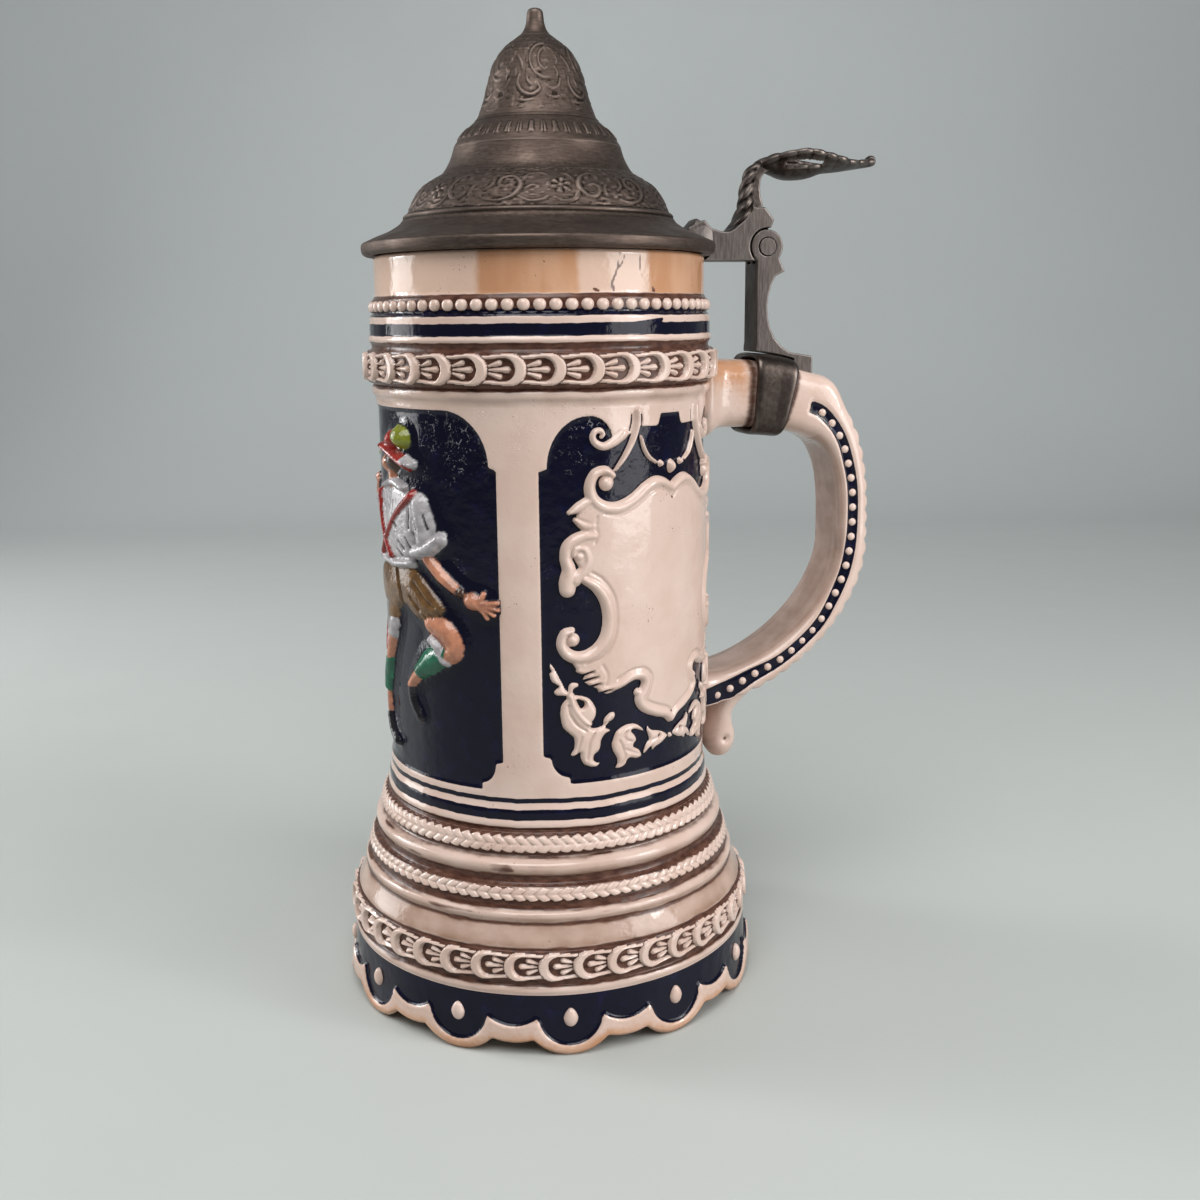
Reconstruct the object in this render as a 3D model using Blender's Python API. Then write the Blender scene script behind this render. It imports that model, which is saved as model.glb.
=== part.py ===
"""Relief-moulded ceramic beer stein with a hinged pewter lid.

The mug stands on its scalloped foot at z = 0 with its handle towards +X. The lid, its arm, its thumb lift
and its finial turn together about the hinge pin above the handle.
"""

import math

import bmesh
import bpy
from mathutils import Matrix, Vector

MM = 0.001

# Clearances
JOIN_GAP = 0.3 * MM  # between two pieces that are luted, soldered or resting on each other
PIN_GAP = 0.1 * MM  # round the hinge pin in its knuckles
KNUCKLE_SIDE_GAP = 0.25 * MM  # between neighbouring knuckles, along the pin
KNUCKLE_SWING_GAP = 0.4 * MM  # round a knuckle where it turns inside its slot

# Mug body: drinking vessel
RIM_HEIGHT = 185.7 * MM
BARREL_RADIUS = 41.2 * MM
WALL = 4.9 * MM
FLOOR_HEIGHT = 50.0 * MM
FLOOR_THICKNESS = 5.2 * MM
FLOOR_FILLET = 5.0 * MM
RIM_SET_BACK = 0.6 * MM
RIM_ROUND = 1.1 * MM

# Mug body: mouldings below the rim, by their depth under it
RIM_BAND_DEPTH = 9.8 * MM
BEAD_DEPTH = 12.0 * MM
BEAD_RADIUS = 1.4 * MM
BEAD_STAND_OUT = 1.8 * MM
NECK_STAND_OUT = 0.9 * MM
UPPER_CHAIN_DEPTH = 26.0 * MM
UPPER_CHAIN_STAND_OUT = 3.1 * MM
CHAIN_WIDTH = 7.2 * MM
CHAIN_EDGE = 1.1 * MM
NECK_DEPTH = 32.6 * MM

# Mug body: flared base, by height above the table
BASE_TOP = 56.0 * MM
BASE_BOTTOM = 25.8 * MM
BASE_FLARE = 9.8 * MM
BASE_CURVE = 1.15  # power of the flare: 1 is a straight cone
RING_FLAT = 0.4  # share of a moulding's width that is level
BASE_RINGS = (  # height, half width and stand-out of the two ropes and the two round mouldings
    (49.2 * MM, 2.3 * MM, 1.4 * MM),
    (43.8 * MM, 1.9 * MM, 1.3 * MM),
    (38.1 * MM, 1.9 * MM, 1.0 * MM),
    (33.0 * MM, 1.3 * MM, 0.6 * MM),
)
LOWER_CHAIN_HEIGHT = 22.0 * MM
LOWER_CHAIN_STAND_OUT = 1.9 * MM

# Mug body: hollow scalloped foot
FOOT_TOP = 15.1 * MM
FOOT_FLARE = 12.8 * MM
FOOT_WALL = 3.8 * MM
FOOT_ROUND = 0.7 * MM
LOBES = 12
LOBE_TURN = math.radians(22.2)  # from the handle to the first large lobe
LOBE_RISE = 3.3 * MM  # height of the arches between the large lobes
LOBE_SPREAD = 0.69  # share of each lobe's turn that its large lobe takes
LOBE_FLAT = 0.5  # share of the large lobe that stands on the table

# Handle: an ear swept along a line in the XZ plane
HANDLE_HEIGHT = 151.4 * MM  # of the upper root's centre
HANDLE_REACH = 46.4 * MM  # from the barrel to the ear's back
HANDLE_WIDTH = 20.0 * MM
ROOT_WIDTH = 17.5 * MM
ROOT_THICKNESS = 17.5 * MM
EAR_THICKNESS = 8.9 * MM
TAIL_THICKNESS = 9.8 * MM
EAR_DROP = 41.0 * MM  # from the upper root to the ear's widest point
LOWER_ROOT_DROP = 78.2 * MM  # from the upper root to the lower one
UPPER_BEND = 3.4  # powers of the ear's two bends: 2 is an ellipse, more is squarer
LOWER_BEND = 1.74
ROOT_FADE = (0.23, 1.33)  # share of the ear's drop over which the root thins down, and its power
TAIL_FADE = 4  # power with which the tail thickens towards the lower root
WIDENING = (0.45, 0.85)  # shares of the reach between which the root widens to the ear
SECTION_POWER = 3.4  # of the ear's rounded section
TERMINAL_REACH = 7.2 * MM  # from the barrel to the middle of the hanging terminal
TERMINAL_DROP = 15.4 * MM  # from the lower root to the terminal's middle
TERMINAL_RADIUS = 4.6 * MM
TERMINAL_WIDTH = 10.5 * MM
TERMINAL_NECK = 18.5 * MM  # from the terminal's middle up to the end of its neck inside the ear
TERMINAL_LEAN = 5.6 * MM  # how far the neck leans back
TERMINAL_WAIST = 0.17  # share by which the neck is drawn in

# Hinge
HINGE_REACH = 18.0 * MM  # from the mug's rim to the pin
HINGE_RISE = 2.5 * MM  # from the rim's height to the pin
HINGE_WIDTH = 9.0 * MM
KNUCKLES = 5  # the shank's and the arm's take turns along the pin, with the shank's outside
KNUCKLE_RADIUS = 4.3 * MM
PIN_RADIUS = 2.2 * MM
PIN_HEAD = 0.3 * MM  # how far each end of the pin stands out
SHANK_FRONT = 2.6 * MM  # from the pin to the shank's front face
SHANK_WAIST = 3.3 * MM
SHANK_FLARE = 1.8 * MM  # of the shank's front at its foot
SHANK_TOE = 1.8 * MM  # from the collar's front edge to the shank's foot
SPUR = (4.9 * MM, 6.1 * MM)  # behind and below the pin
SPUR_THICKNESS = 1.2 * MM
COLLAR_START = 12.8 * MM  # from the barrel to the collar
COLLAR_WIDTH = 9.8 * MM
COLLAR_THICKNESS = 1.7 * MM
TAB_LENGTH = 8.0 * MM  # of the shank's tail over the handle, behind the collar
TAB_THICKNESS = 3.4 * MM
TAB_FALL = 1.0 * MM  # from the tail's heel to its end

# Lid: tiers of a turned shell, each by its radius and its height above the rim
LID_OVERHANG = 2.7 * MM
LID_WALL = 1.8 * MM
LID_EDGE = 1.5 * MM  # radius of the rolled edge
LID_LAP = 0.5 * MM  # how far the rolled edge hangs below the seat
SKIRT_TOP = (32.4 * MM, 9.6 * MM)
BAND_TOP = (24.0 * MM, 18.6 * MM)
LOWER_COVE_TOP = (19.8 * MM, 25.4 * MM)
COLLAR_RING_TOP = (15.6 * MM, 30.9 * MM)
UPPER_COVE_TOP = (12.9 * MM, 35.8 * MM)
BELL_TOP = (3.6 * MM, 51.0 * MM)
TIER_POWER = 1.3  # fullness of the tiers' curves: 1 is straight, 2 is an ellipse
BELL_POWER = 1.45
FINIAL_RADIUS = 3.4 * MM
FINIAL_TIP_RADIUS = 1.9 * MM
FINIAL_HEIGHT = 5.9 * MM

# Lid arm and thumb lift
ARM_RISE = 9.7 * MM  # from the pin to the seam under the thumb lift
ARM_DROP = 3.5 * MM  # from the pin to the arm's lower edge
ARM_DIP = 3.5 * MM  # from the pin to the lowest point of the arm's upper edge
ARM_BOSS = 6.4 * MM  # from the pin to the top of the boss on the lid's rim
ARM_TOP = (6.8 * MM, 0.8 * MM)  # ends of the seam, both in front of the pin
ARM_NECK = 1.0 * MM  # how far the arm's hollow reaches in front of the seam
REAR_SPUR = (1.8 * MM, 6.6 * MM)  # behind and above the pin
BOSS_LENGTH = 6.0 * MM
STEM_WIDTH = 5.0 * MM
STEM_BACK = 1.2 * MM  # in front of the pin
STEM_WAIST = 0.3 * MM  # how far the stem's back is drawn in above its foot
STEM_FLARE = 2.4 * MM  # how far it spreads under the leaf
ROPE_RADIUS = 2.5 * MM
ROPE_GROOVE = 0.35 * MM
ROPE_STRANDS = 3
ROPE_TURNS = 1.2
ROPE_BULGE = 0.68  # share of the leaf's height where the rope stands furthest forward
LEAF_START = 1.6 * MM  # behind the pin
LEAF_REACH = 30.5 * MM
LEAF_WIDTH = 19.0 * MM
LEAF_RISE = 24.3 * MM  # from the pin to the crown of the leaf's edge
LEAF_CROWN = 0.3  # share of the leaf's length where that crown is
LEAF_SAG = 2.2 * MM  # from the crown to either end
LEAF_DEPTH = 5.0 * MM
LEAF_THICKNESS = 1.5 * MM
LEAF_SCALLOPS = 5
LEAF_SCALLOP_DEPTH = 0.8 * MM
LEAF_TAPER = (0.1, 0.94, 0.8)  # part of a half sine that gives the leaf's width, and its power
LEAF_TIP = 0.16  # least share of that width

# Facets
MUG_STEPS = LOBES * 6
LID_STEPS = 48
PIN_STEPS = 24
HANDLE_RINGS = 36
HANDLE_SIDES = 16
LINE_SAMPLES = 400
LINE_STEP = 0.01
EAR_OVERRUN = 0.1  # how far the ear runs on into the mug's wall before it is cut there
COLLAR_RINGS = 4
TERMINAL_SIDES = 16
TERMINAL_RINGS = 5
ROPE_RINGS = 16
ROPE_SIDES = 4 * ROPE_STRANDS
LEAF_GRID = (15, 8)
SMOOTH_ANGLE = math.radians(35)

# What follows from the sizes above
RIM_RADIUS = BARREL_RADIUS - RIM_SET_BACK
BORE_RADIUS = BARREL_RADIUS - WALL
FOOT_RADIUS = BARREL_RADIUS + FOOT_FLARE
LID_RADIUS = RIM_RADIUS + LID_OVERHANG
LID_SEAT = RIM_HEIGHT + JOIN_GAP
HINGE = Vector((RIM_RADIUS + HINGE_REACH, 0, RIM_HEIGHT + HINGE_RISE))
KNUCKLE_PITCH = HINGE_WIDTH / KNUCKLES
# The model's box is centred on the origin, so the mug's own axis stands to -X of it.
BACK = max(BARREL_RADIUS + HANDLE_REACH, HINGE.x + LEAF_REACH)
MUG_AXIS = Vector(((FOOT_RADIUS - BACK) / 2, 0, 0))


def arc(centre, radius, start, end, steps):
    """Points of a round stretch in the profile plane, between two angles in degrees."""
    turns = [math.radians(start + (end - start) * i / steps) for i in range(steps + 1)]
    return [(centre[0] + radius * math.cos(a), centre[1] + radius * math.sin(a)) for a in turns]


def bezier(points, steps):
    """Points of a cubic stretch with four control points."""
    curve = []
    for i in range(steps + 1):
        t = i / steps
        weights = ((1 - t) ** 3, 3 * t * (1 - t) ** 2, 3 * t * t * (1 - t), t**3)
        curve.append(tuple(sum(w * p[k] for w, p in zip(weights, points)) for k in (0, 1)))
    return curve


def tier_shares(power, steps):
    """Shares of a tier's run left and of its rise made, at each step round its curve."""
    turns = [math.pi / 2 * i / steps for i in range(1, steps + 1)]
    return [(max(math.cos(a), 0) ** (2 / power), math.sin(a) ** (2 / power)) for a in turns]


def convex_tier(foot, top, power, steps):
    """A swelling tier that leaves its foot upright and reaches its top level."""
    run, rise = foot[0] - top[0], top[1] - foot[1]
    return [(top[0] + run * left, foot[1] + rise * made) for left, made in tier_shares(power, steps)]


def cove_tier(foot, top, power, steps):
    """A hollow tier that leaves its foot level and reaches its top upright."""
    run, rise = foot[0] - top[0], top[1] - foot[1]
    return [(foot[0] - run * made, top[1] - rise * left) for left, made in tier_shares(power, steps)]


def material(name, colour, roughness, metallic):
    made = bpy.data.materials.new(name)
    made.use_nodes = True
    shader = made.node_tree.nodes["Principled BSDF"]
    shader.inputs["Base Color"].default_value = (*colour, 1)
    shader.inputs["Roughness"].default_value = roughness
    shader.inputs["Metallic"].default_value = metallic
    return made


def new_object(name, shape):
    """An object from a finished bmesh, shaded smooth across its blunter edges."""
    bmesh.ops.recalc_face_normals(shape, faces=shape.faces)
    mesh = bpy.data.meshes.new(name)
    shape.to_mesh(mesh)
    shape.free()
    mesh.shade_smooth()
    mesh.set_sharp_from_angle(angle=SMOOTH_ANGLE)
    made = bpy.data.objects.new(name, mesh)
    bpy.context.collection.objects.link(made)
    return made


def turned(name, profile, steps):
    """A solid of revolution from a profile in (radius, height) that starts and ends on the axis."""
    shape = bmesh.new()
    verts = [shape.verts.new((r, 0, z)) for r, z in profile]
    edges = [shape.edges.new(pair) for pair in zip(verts, verts[1:])]
    turn = {"cent": (0, 0, 0), "axis": (0, 0, 1), "angle": math.tau, "steps": steps}
    bmesh.ops.spin(shape, geom=verts + edges, use_merge=True, **turn)
    bmesh.ops.remove_doubles(shape, verts=shape.verts, dist=0.01 * MM)
    return new_object(name, shape)


def extruded(name, outline, width):
    """A plate with its outline in the XZ plane, centred on it."""
    shape = bmesh.new()
    face = shape.faces.new([shape.verts.new((x, -width / 2, z)) for x, z in outline])
    side = bmesh.ops.extrude_face_region(shape, geom=[face])["geom"]
    moved = [v for v in side if isinstance(v, bmesh.types.BMVert)]
    bmesh.ops.translate(shape, verts=moved, vec=(0, width, 0))
    return new_object(name, shape)


def lofted(name, rings, closed=False):
    """A skin over rings of equal count; open ends are capped."""
    shape = bmesh.new()
    loops = [[shape.verts.new(point) for point in ring] for ring in rings]
    pairs = list(zip(loops, loops[1:] + loops[:1])) if closed else list(zip(loops, loops[1:]))
    for one, two in pairs:
        for i in range(len(one)):
            j = (i + 1) % len(one)
            shape.faces.new((one[i], one[j], two[j], two[i]))
    if not closed:
        shape.faces.new(loops[0])
        shape.faces.new(loops[-1])
    return new_object(name, shape)


def cylinder(name, radius, start, end):
    """A round bar along the hinge axis, between two places along it."""
    turns = [math.tau * i / PIN_STEPS for i in range(PIN_STEPS)]
    rings = []
    for y in (start, end):
        rings.append([HINGE + Vector((radius * math.cos(a), y, radius * math.sin(a))) for a in turns])
    return lofted(name, rings)


def combine(target, other, operation):
    """Joins or cuts with a Boolean, and takes the second object away."""
    modifier = target.modifiers.new(operation, "BOOLEAN")
    modifier.operation = operation
    modifier.object = other
    depsgraph = bpy.context.evaluated_depsgraph_get()
    mesh = bpy.data.meshes.new_from_object(target.evaluated_get(depsgraph))
    target.modifiers.remove(modifier)
    target.data = mesh
    bpy.data.objects.remove(other)
    mesh.shade_smooth()
    mesh.set_sharp_from_angle(angle=SMOOTH_ANGLE)


def place(made, parent, origin, finish):
    """Hangs a piece, modelled about the mug's axis, on an empty that stands at its origin."""
    made.data.transform(Matrix.Translation(-origin))
    made.parent = parent
    made.data.materials.clear()
    made.data.materials.append(finish)


def base_radius(height):
    """Radius of the flared base between its mouldings."""
    down = (BASE_TOP - height) / (BASE_TOP - BASE_BOTTOM)
    return BARREL_RADIUS + BASE_FLARE * min(max(down, 0), 1) ** BASE_CURVE


def chain_band(height, ground, crest):
    """The chamfered band that carries a chain."""
    half = CHAIN_WIDTH / 2
    return [
        (ground, height + half),
        (crest, height + half - CHAIN_EDGE),
        (crest, height - half + CHAIN_EDGE),
        (ground, height - half),
    ]


def mug_outside(gap):
    """The mug's outer profile from rim to foot, moved out by a gap."""
    neck = BARREL_RADIUS + NECK_STAND_OUT
    bead = RIM_HEIGHT - BEAD_DEPTH
    profile = [
        (RIM_RADIUS - RIM_ROUND, RIM_HEIGHT),
        (RIM_RADIUS, RIM_HEIGHT - RIM_ROUND),
        (RIM_RADIUS, RIM_HEIGHT - RIM_BAND_DEPTH),
        (neck, bead + BEAD_RADIUS),
        (BARREL_RADIUS + BEAD_STAND_OUT, bead),
        (neck, bead - BEAD_RADIUS),
    ]
    profile += chain_band(RIM_HEIGHT - UPPER_CHAIN_DEPTH, neck, BARREL_RADIUS + UPPER_CHAIN_STAND_OUT)
    profile += [(BARREL_RADIUS, RIM_HEIGHT - NECK_DEPTH), (BARREL_RADIUS, BASE_TOP)]
    for height, half, stand_out in BASE_RINGS:
        crest = base_radius(height) + stand_out
        profile += [
            (base_radius(height + half), height + half),
            (crest, height + half * RING_FLAT),
            (crest, height - half * RING_FLAT),
            (base_radius(height - half), height - half),
        ]
    ground = base_radius(BASE_BOTTOM)
    profile += chain_band(LOWER_CHAIN_HEIGHT, ground, ground + LOWER_CHAIN_STAND_OUT)
    profile += [
        ((ground + FOOT_RADIUS) / 2, FOOT_TOP),
        (FOOT_RADIUS - FOOT_ROUND, FOOT_TOP / 2),
        (FOOT_RADIUS, FOOT_ROUND),
        (FOOT_RADIUS - FOOT_ROUND, 0),
    ]
    return [(radius + gap, height) for radius, height in profile]


def lobe_rise(turn):
    """How far the foot's edge stands off the table, at an angle from the handle."""
    pitch = math.tau / LOBES
    away = abs((turn - LOBE_TURN + pitch / 2) % pitch - pitch / 2) / (pitch * LOBE_SPREAD / 2)
    climb = min(max((away - LOBE_FLAT) / (1 - LOBE_FLAT), 0), 1)
    return LOBE_RISE * climb * climb * (3 - 2 * climb)


def mug_body():
    inside = [
        (0, FLOOR_HEIGHT),
        (BORE_RADIUS - FLOOR_FILLET, FLOOR_HEIGHT),
        *arc((BORE_RADIUS - FLOOR_FILLET, FLOOR_HEIGHT + FLOOR_FILLET), FLOOR_FILLET, -45, 0, 1),
        (BORE_RADIUS, RIM_HEIGHT - RIM_ROUND),
        (BORE_RADIUS + RIM_ROUND, RIM_HEIGHT),
    ]
    ceiling = FLOOR_HEIGHT - FLOOR_THICKNESS
    shoulder = ceiling - FLOOR_FILLET
    underside = [
        (FOOT_RADIUS - FOOT_WALL, 0),
        (FOOT_RADIUS - FOOT_WALL - FOOT_ROUND, FOOT_TOP),
        (base_radius(BASE_BOTTOM) - FOOT_WALL, BASE_BOTTOM),
        (base_radius(shoulder) - FOOT_WALL, shoulder),
        (base_radius(shoulder) - FOOT_WALL - FLOOR_FILLET, ceiling),
        (0, ceiling),
    ]
    mug = turned("mug_body", inside + mug_outside(0) + underside, MUG_STEPS)
    mug.data.transform(Matrix.Rotation(LOBE_TURN, 4, "Z"))
    for vert in mug.data.vertices:
        if vert.co.z < FOOT_TOP:
            vert.co.z += lobe_rise(math.atan2(vert.co.y, vert.co.x)) * (1 - vert.co.z / FOOT_TOP)
    return mug


def ear_line(along):
    """Middle, thickness and width of the ear: 0 is its upper root, 1 its back and 2 its lower root."""
    reach = HANDLE_REACH - EAR_THICKNESS / 2
    upper = along < 1
    turn = min(max(along if upper else along - 1, 0), 1) * math.pi / 2
    if upper:
        out = math.sin(turn) ** (2 / UPPER_BEND)
        down = 1 - math.cos(turn) ** (2 / UPPER_BEND)
        height = HANDLE_HEIGHT - EAR_DROP * down
        swell = (ROOT_THICKNESS - EAR_THICKNESS) * math.exp(-((down / ROOT_FADE[0]) ** ROOT_FADE[1]))
    else:
        out = max(math.cos(turn), 0) ** (2 / LOWER_BEND)
        down = math.sin(turn) ** (2 / LOWER_BEND)
        height = HANDLE_HEIGHT - EAR_DROP - (LOWER_ROOT_DROP - EAR_DROP) * down
        swell = (TAIL_THICKNESS - EAR_THICKNESS) * (1 - out) ** TAIL_FADE
    spread = (out - WIDENING[0]) / (WIDENING[1] - WIDENING[0])
    spread = min(max(spread, 0), 1) if upper else 1
    width = ROOT_WIDTH + (HANDLE_WIDTH - ROOT_WIDTH) * spread
    overrun = WALL * (min(along, 0) + min(2 - along, 0)) / EAR_OVERRUN
    return Vector((BARREL_RADIUS + reach * out + overrun, 0, height)), EAR_THICKNESS + swell, width


def ear_ring(along, gap):
    """The ear's section there, square to its line and moved out by a gap."""
    middle, thickness, width = ear_line(along)
    run = ear_line(along + LINE_STEP)[0] - ear_line(along - LINE_STEP)[0]
    across = Vector((run.z, 0, -run.x)).normalized()
    ring = []
    for i in range(HANDLE_SIDES):
        turn = math.tau * (i + 0.5) / HANDLE_SIDES
        x, y = (math.copysign(abs(f(turn)) ** (2 / SECTION_POWER), f(turn)) for f in (math.cos, math.sin))
        ring.append(middle + across * x * (thickness / 2 + gap) + Vector((0, y * (width / 2 + gap), 0)))
    return ring


def ear_place(distance):
    """Where along the ear's upper arm its line is that far from the barrel."""
    reach = HANDLE_REACH - EAR_THICKNESS / 2
    return math.asin((distance / reach) ** (UPPER_BEND / 2)) * 2 / math.pi


def ear_top(distance):
    """Height of the handle's top there."""
    along = ear_place(distance)
    middle, thickness, _ = ear_line(along)
    run = ear_line(along + LINE_STEP)[0] - ear_line(along - LINE_STEP)[0]
    return middle.z + thickness / 2 * run.length / run.x


def even_places(start, end, count):
    """Places between two along the ear that lie equally far apart on its line."""
    samples = [start + (end - start) * i / LINE_SAMPLES for i in range(LINE_SAMPLES + 1)]
    points = [ear_line(along)[0] for along in samples]
    run = [0.0]
    for one, two in zip(points, points[1:]):
        run.append(run[-1] + (two - one).length)
    places, k = [], 0
    for i in range(count + 1):
        while k < LINE_SAMPLES and run[k] < run[-1] * i / count:
            k += 1
        places.append(samples[k])
    return places


def ear_bar(name, start, end, gap, rings):
    return lofted(name, [ear_ring(along, gap) for along in even_places(start, end, rings)])


def terminal():
    """The rounded drop below the lower root, on a waisted neck that leans back into the ear."""
    middle = Vector((BARREL_RADIUS + TERMINAL_REACH, 0, HANDLE_HEIGHT - LOWER_ROOT_DROP - TERMINAL_DROP))
    line = []
    for i in range(1, TERMINAL_RINGS):
        turn = math.pi / 2 * i / TERMINAL_RINGS
        line.append((0, -TERMINAL_RADIUS * math.cos(turn), TERMINAL_RADIUS * math.sin(turn)))
    for i in range(TERMINAL_RINGS + 1):
        share = i / TERMINAL_RINGS
        radius = TERMINAL_RADIUS * (1 - TERMINAL_WAIST * math.sin(math.pi * share))
        line.append((TERMINAL_LEAN * share * share, TERMINAL_NECK * share, radius))
    rings = []
    for back, rise, radius in line:
        ring = []
        for k in range(TERMINAL_SIDES):
            turn = math.tau * k / TERMINAL_SIDES
            wide = radius * TERMINAL_WIDTH / 2 / TERMINAL_RADIUS
            ring.append(middle + Vector((back + radius * math.cos(turn), wide * math.sin(turn), rise)))
        rings.append(ring)
    return lofted("terminal", rings)


def handle():
    ear = ear_bar("handle", -EAR_OVERRUN, 2 + EAR_OVERRUN, 0, HANDLE_RINGS)
    combine(ear, terminal(), "UNION")
    top = [(0, RIM_HEIGHT)]
    combine(ear, turned("mug_space", top + mug_outside(JOIN_GAP) + [(0, 0)], MUG_STEPS), "DIFFERENCE")
    return ear


def collar_ends():
    return COLLAR_START, COLLAR_START + COLLAR_WIDTH


def handle_collar():
    start, end = (ear_place(distance) for distance in collar_ends())
    places = [start + (end - start) * i / COLLAR_RINGS for i in range(COLLAR_RINGS + 1)]
    rings = [ear_ring(along, JOIN_GAP + COLLAR_THICKNESS) for along in places]
    rings += [ear_ring(along, JOIN_GAP) for along in reversed(places)]
    return lofted("handle_collar", rings, closed=True)


def hinge_slots(piece, first):
    """Cuts every second knuckle's place out of a piece, and drills it for the pin."""
    for i in range(first, KNUCKLES, 2):
        start = -HINGE_WIDTH / 2 + i * KNUCKLE_PITCH
        sides = (start - KNUCKLE_SIDE_GAP / 2, start + KNUCKLE_PITCH + KNUCKLE_SIDE_GAP / 2)
        if i == 0:
            sides = (start - KNUCKLE_PITCH, sides[1])
        if i == KNUCKLES - 1:
            sides = (sides[0], start + 2 * KNUCKLE_PITCH)
        combine(piece, cylinder("slot", KNUCKLE_RADIUS + KNUCKLE_SWING_GAP, *sides), "DIFFERENCE")
    combine(piece, cylinder("bore", PIN_RADIUS + PIN_GAP, -HINGE_WIDTH, HINGE_WIDTH), "DIFFERENCE")


def from_pin(points):
    """Places given from the pin, as (behind, above)."""
    return [(HINGE.x + x, HINGE.z + z) for x, z in points]


def knuckle_angle(depth, side):
    """Angle on the knuckle, in degrees, of the point that far from the pin on one side."""
    return math.degrees(math.acos(depth / KNUCKLE_RADIUS)) * side


def shank():
    """The post with its outer and middle knuckles, its spur, and its tail over the handle."""
    collar_end = collar_ends()[1]
    seat = ear_top(collar_end) + COLLAR_THICKNESS + 2 * JOIN_GAP
    tail = collar_end + TAB_LENGTH
    buried = HANDLE_HEIGHT
    back = SHANK_WAIST - SHANK_FRONT
    heel = (BARREL_RADIUS + collar_end + TAB_THICKNESS / 2, seat + TAB_THICKNESS / 4)
    foot = BARREL_RADIUS + COLLAR_START + SHANK_TOE
    tail_top = heel[1] - TAB_FALL
    spur = (SPUR[0], -SPUR[1])
    under_spur = (SPUR[0] / 2, -SPUR[1] - SPUR_THICKNESS)
    outline = from_pin(arc((0, 0), KNUCKLE_RADIUS, -40, 360 - knuckle_angle(-SHANK_FRONT, 1), 14))
    outline += [(HINGE.x - SHANK_FRONT, seat + 2 * SHANK_FLARE), (foot, seat + SHANK_FLARE), (foot, buried)]
    outline += [(BARREL_RADIUS + tail, buried), (BARREL_RADIUS + tail, tail_top), heel]
    curve = [
        heel,
        (HINGE.x + back - SHANK_WAIST / 2, heel[1] + SHANK_WAIST),
        (HINGE.x + back - SHANK_WAIST / 2, HINGE.z - 2 * SPUR[1]),
        from_pin([under_spur])[0],
    ]
    outline += bezier(curve, 8)[1:] + from_pin([spur])
    post = extruded("shank", outline, HINGE_WIDTH)
    hinge_slots(post, 1)
    start, end = (ear_place(distance) for distance in (COLLAR_START - JOIN_GAP, collar_end + JOIN_GAP))
    combine(post, ear_bar("handle_space", 0, 1, JOIN_GAP, HANDLE_RINGS), "DIFFERENCE")
    skin = COLLAR_THICKNESS + 2 * JOIN_GAP
    combine(post, ear_bar("collar_space", start, end, skin, COLLAR_RINGS), "DIFFERENCE")
    return post


def hinge_pin():
    end = HINGE_WIDTH / 2 + PIN_HEAD
    return cylinder("hinge_pin", PIN_RADIUS, -end, end)


def lid_tiers():
    """Radius and height of each tier's foot, from the rolled edge up to the bell's top."""
    tiers = (SKIRT_TOP, BAND_TOP, LOWER_COVE_TOP, COLLAR_RING_TOP, UPPER_COVE_TOP, BELL_TOP)
    edge = (LID_RADIUS - LID_EDGE, LID_SEAT - LID_LAP + 2 * LID_EDGE)
    return [edge] + [(radius, RIM_HEIGHT + height) for radius, height in tiers]


def lid_outside(gap):
    """The lid's outer profile from its top to its rolled edge, moved out by a gap."""
    tiers = lid_tiers()
    shapes = (cove_tier, convex_tier, cove_tier, convex_tier, cove_tier, convex_tier)
    powers = [TIER_POWER] * (len(shapes) - 1) + [BELL_POWER]
    steps = (4, 4, 3, 3, 3, 5)
    edge_middle = (LID_RADIUS - LID_EDGE, LID_SEAT - LID_LAP + LID_EDGE)
    profile = []
    for shape, foot, top, power, count in zip(shapes, tiers, tiers[1:], powers, steps):
        profile += [(radius + gap, height + gap) for radius, height in shape(foot, top, power, count)]
    return profile[::-1] + arc(edge_middle, LID_EDGE + gap, 90, -90, 5)


def lid():
    outside = lid_outside(0)
    hollow = [(RIM_RADIUS, LID_SEAT), (BORE_RADIUS, LID_SEAT)]
    hollow += [(radius - LID_WALL, height - LID_WALL / 2) for radius, height in lid_tiers()[1:-1]]
    ceiling = RIM_HEIGHT + BELL_TOP[1] - 2 * LID_WALL
    hollow += [(BELL_TOP[0], ceiling - LID_WALL), (0, ceiling)]
    return turned("lid", [(0, outside[0][1])] + outside + hollow, LID_STEPS)


def lid_finial():
    foot = RIM_HEIGHT + BELL_TOP[1] + JOIN_GAP
    waist = (FINIAL_RADIUS + FINIAL_TIP_RADIUS) / 2
    tip = (0, foot + FINIAL_HEIGHT - FINIAL_TIP_RADIUS)
    profile = [(0, foot + FINIAL_HEIGHT)]
    profile += arc(tip, FINIAL_TIP_RADIUS, 90, 0, 4)[1:]
    profile += [(FINIAL_TIP_RADIUS, foot + FINIAL_HEIGHT / 2), (waist, foot + FINIAL_HEIGHT / 4)]
    profile += [(FINIAL_RADIUS, foot + FINIAL_HEIGHT / 8), (FINIAL_RADIUS, foot), (0, foot)]
    return turned("lid_finial", profile, PIN_STEPS)


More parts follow.
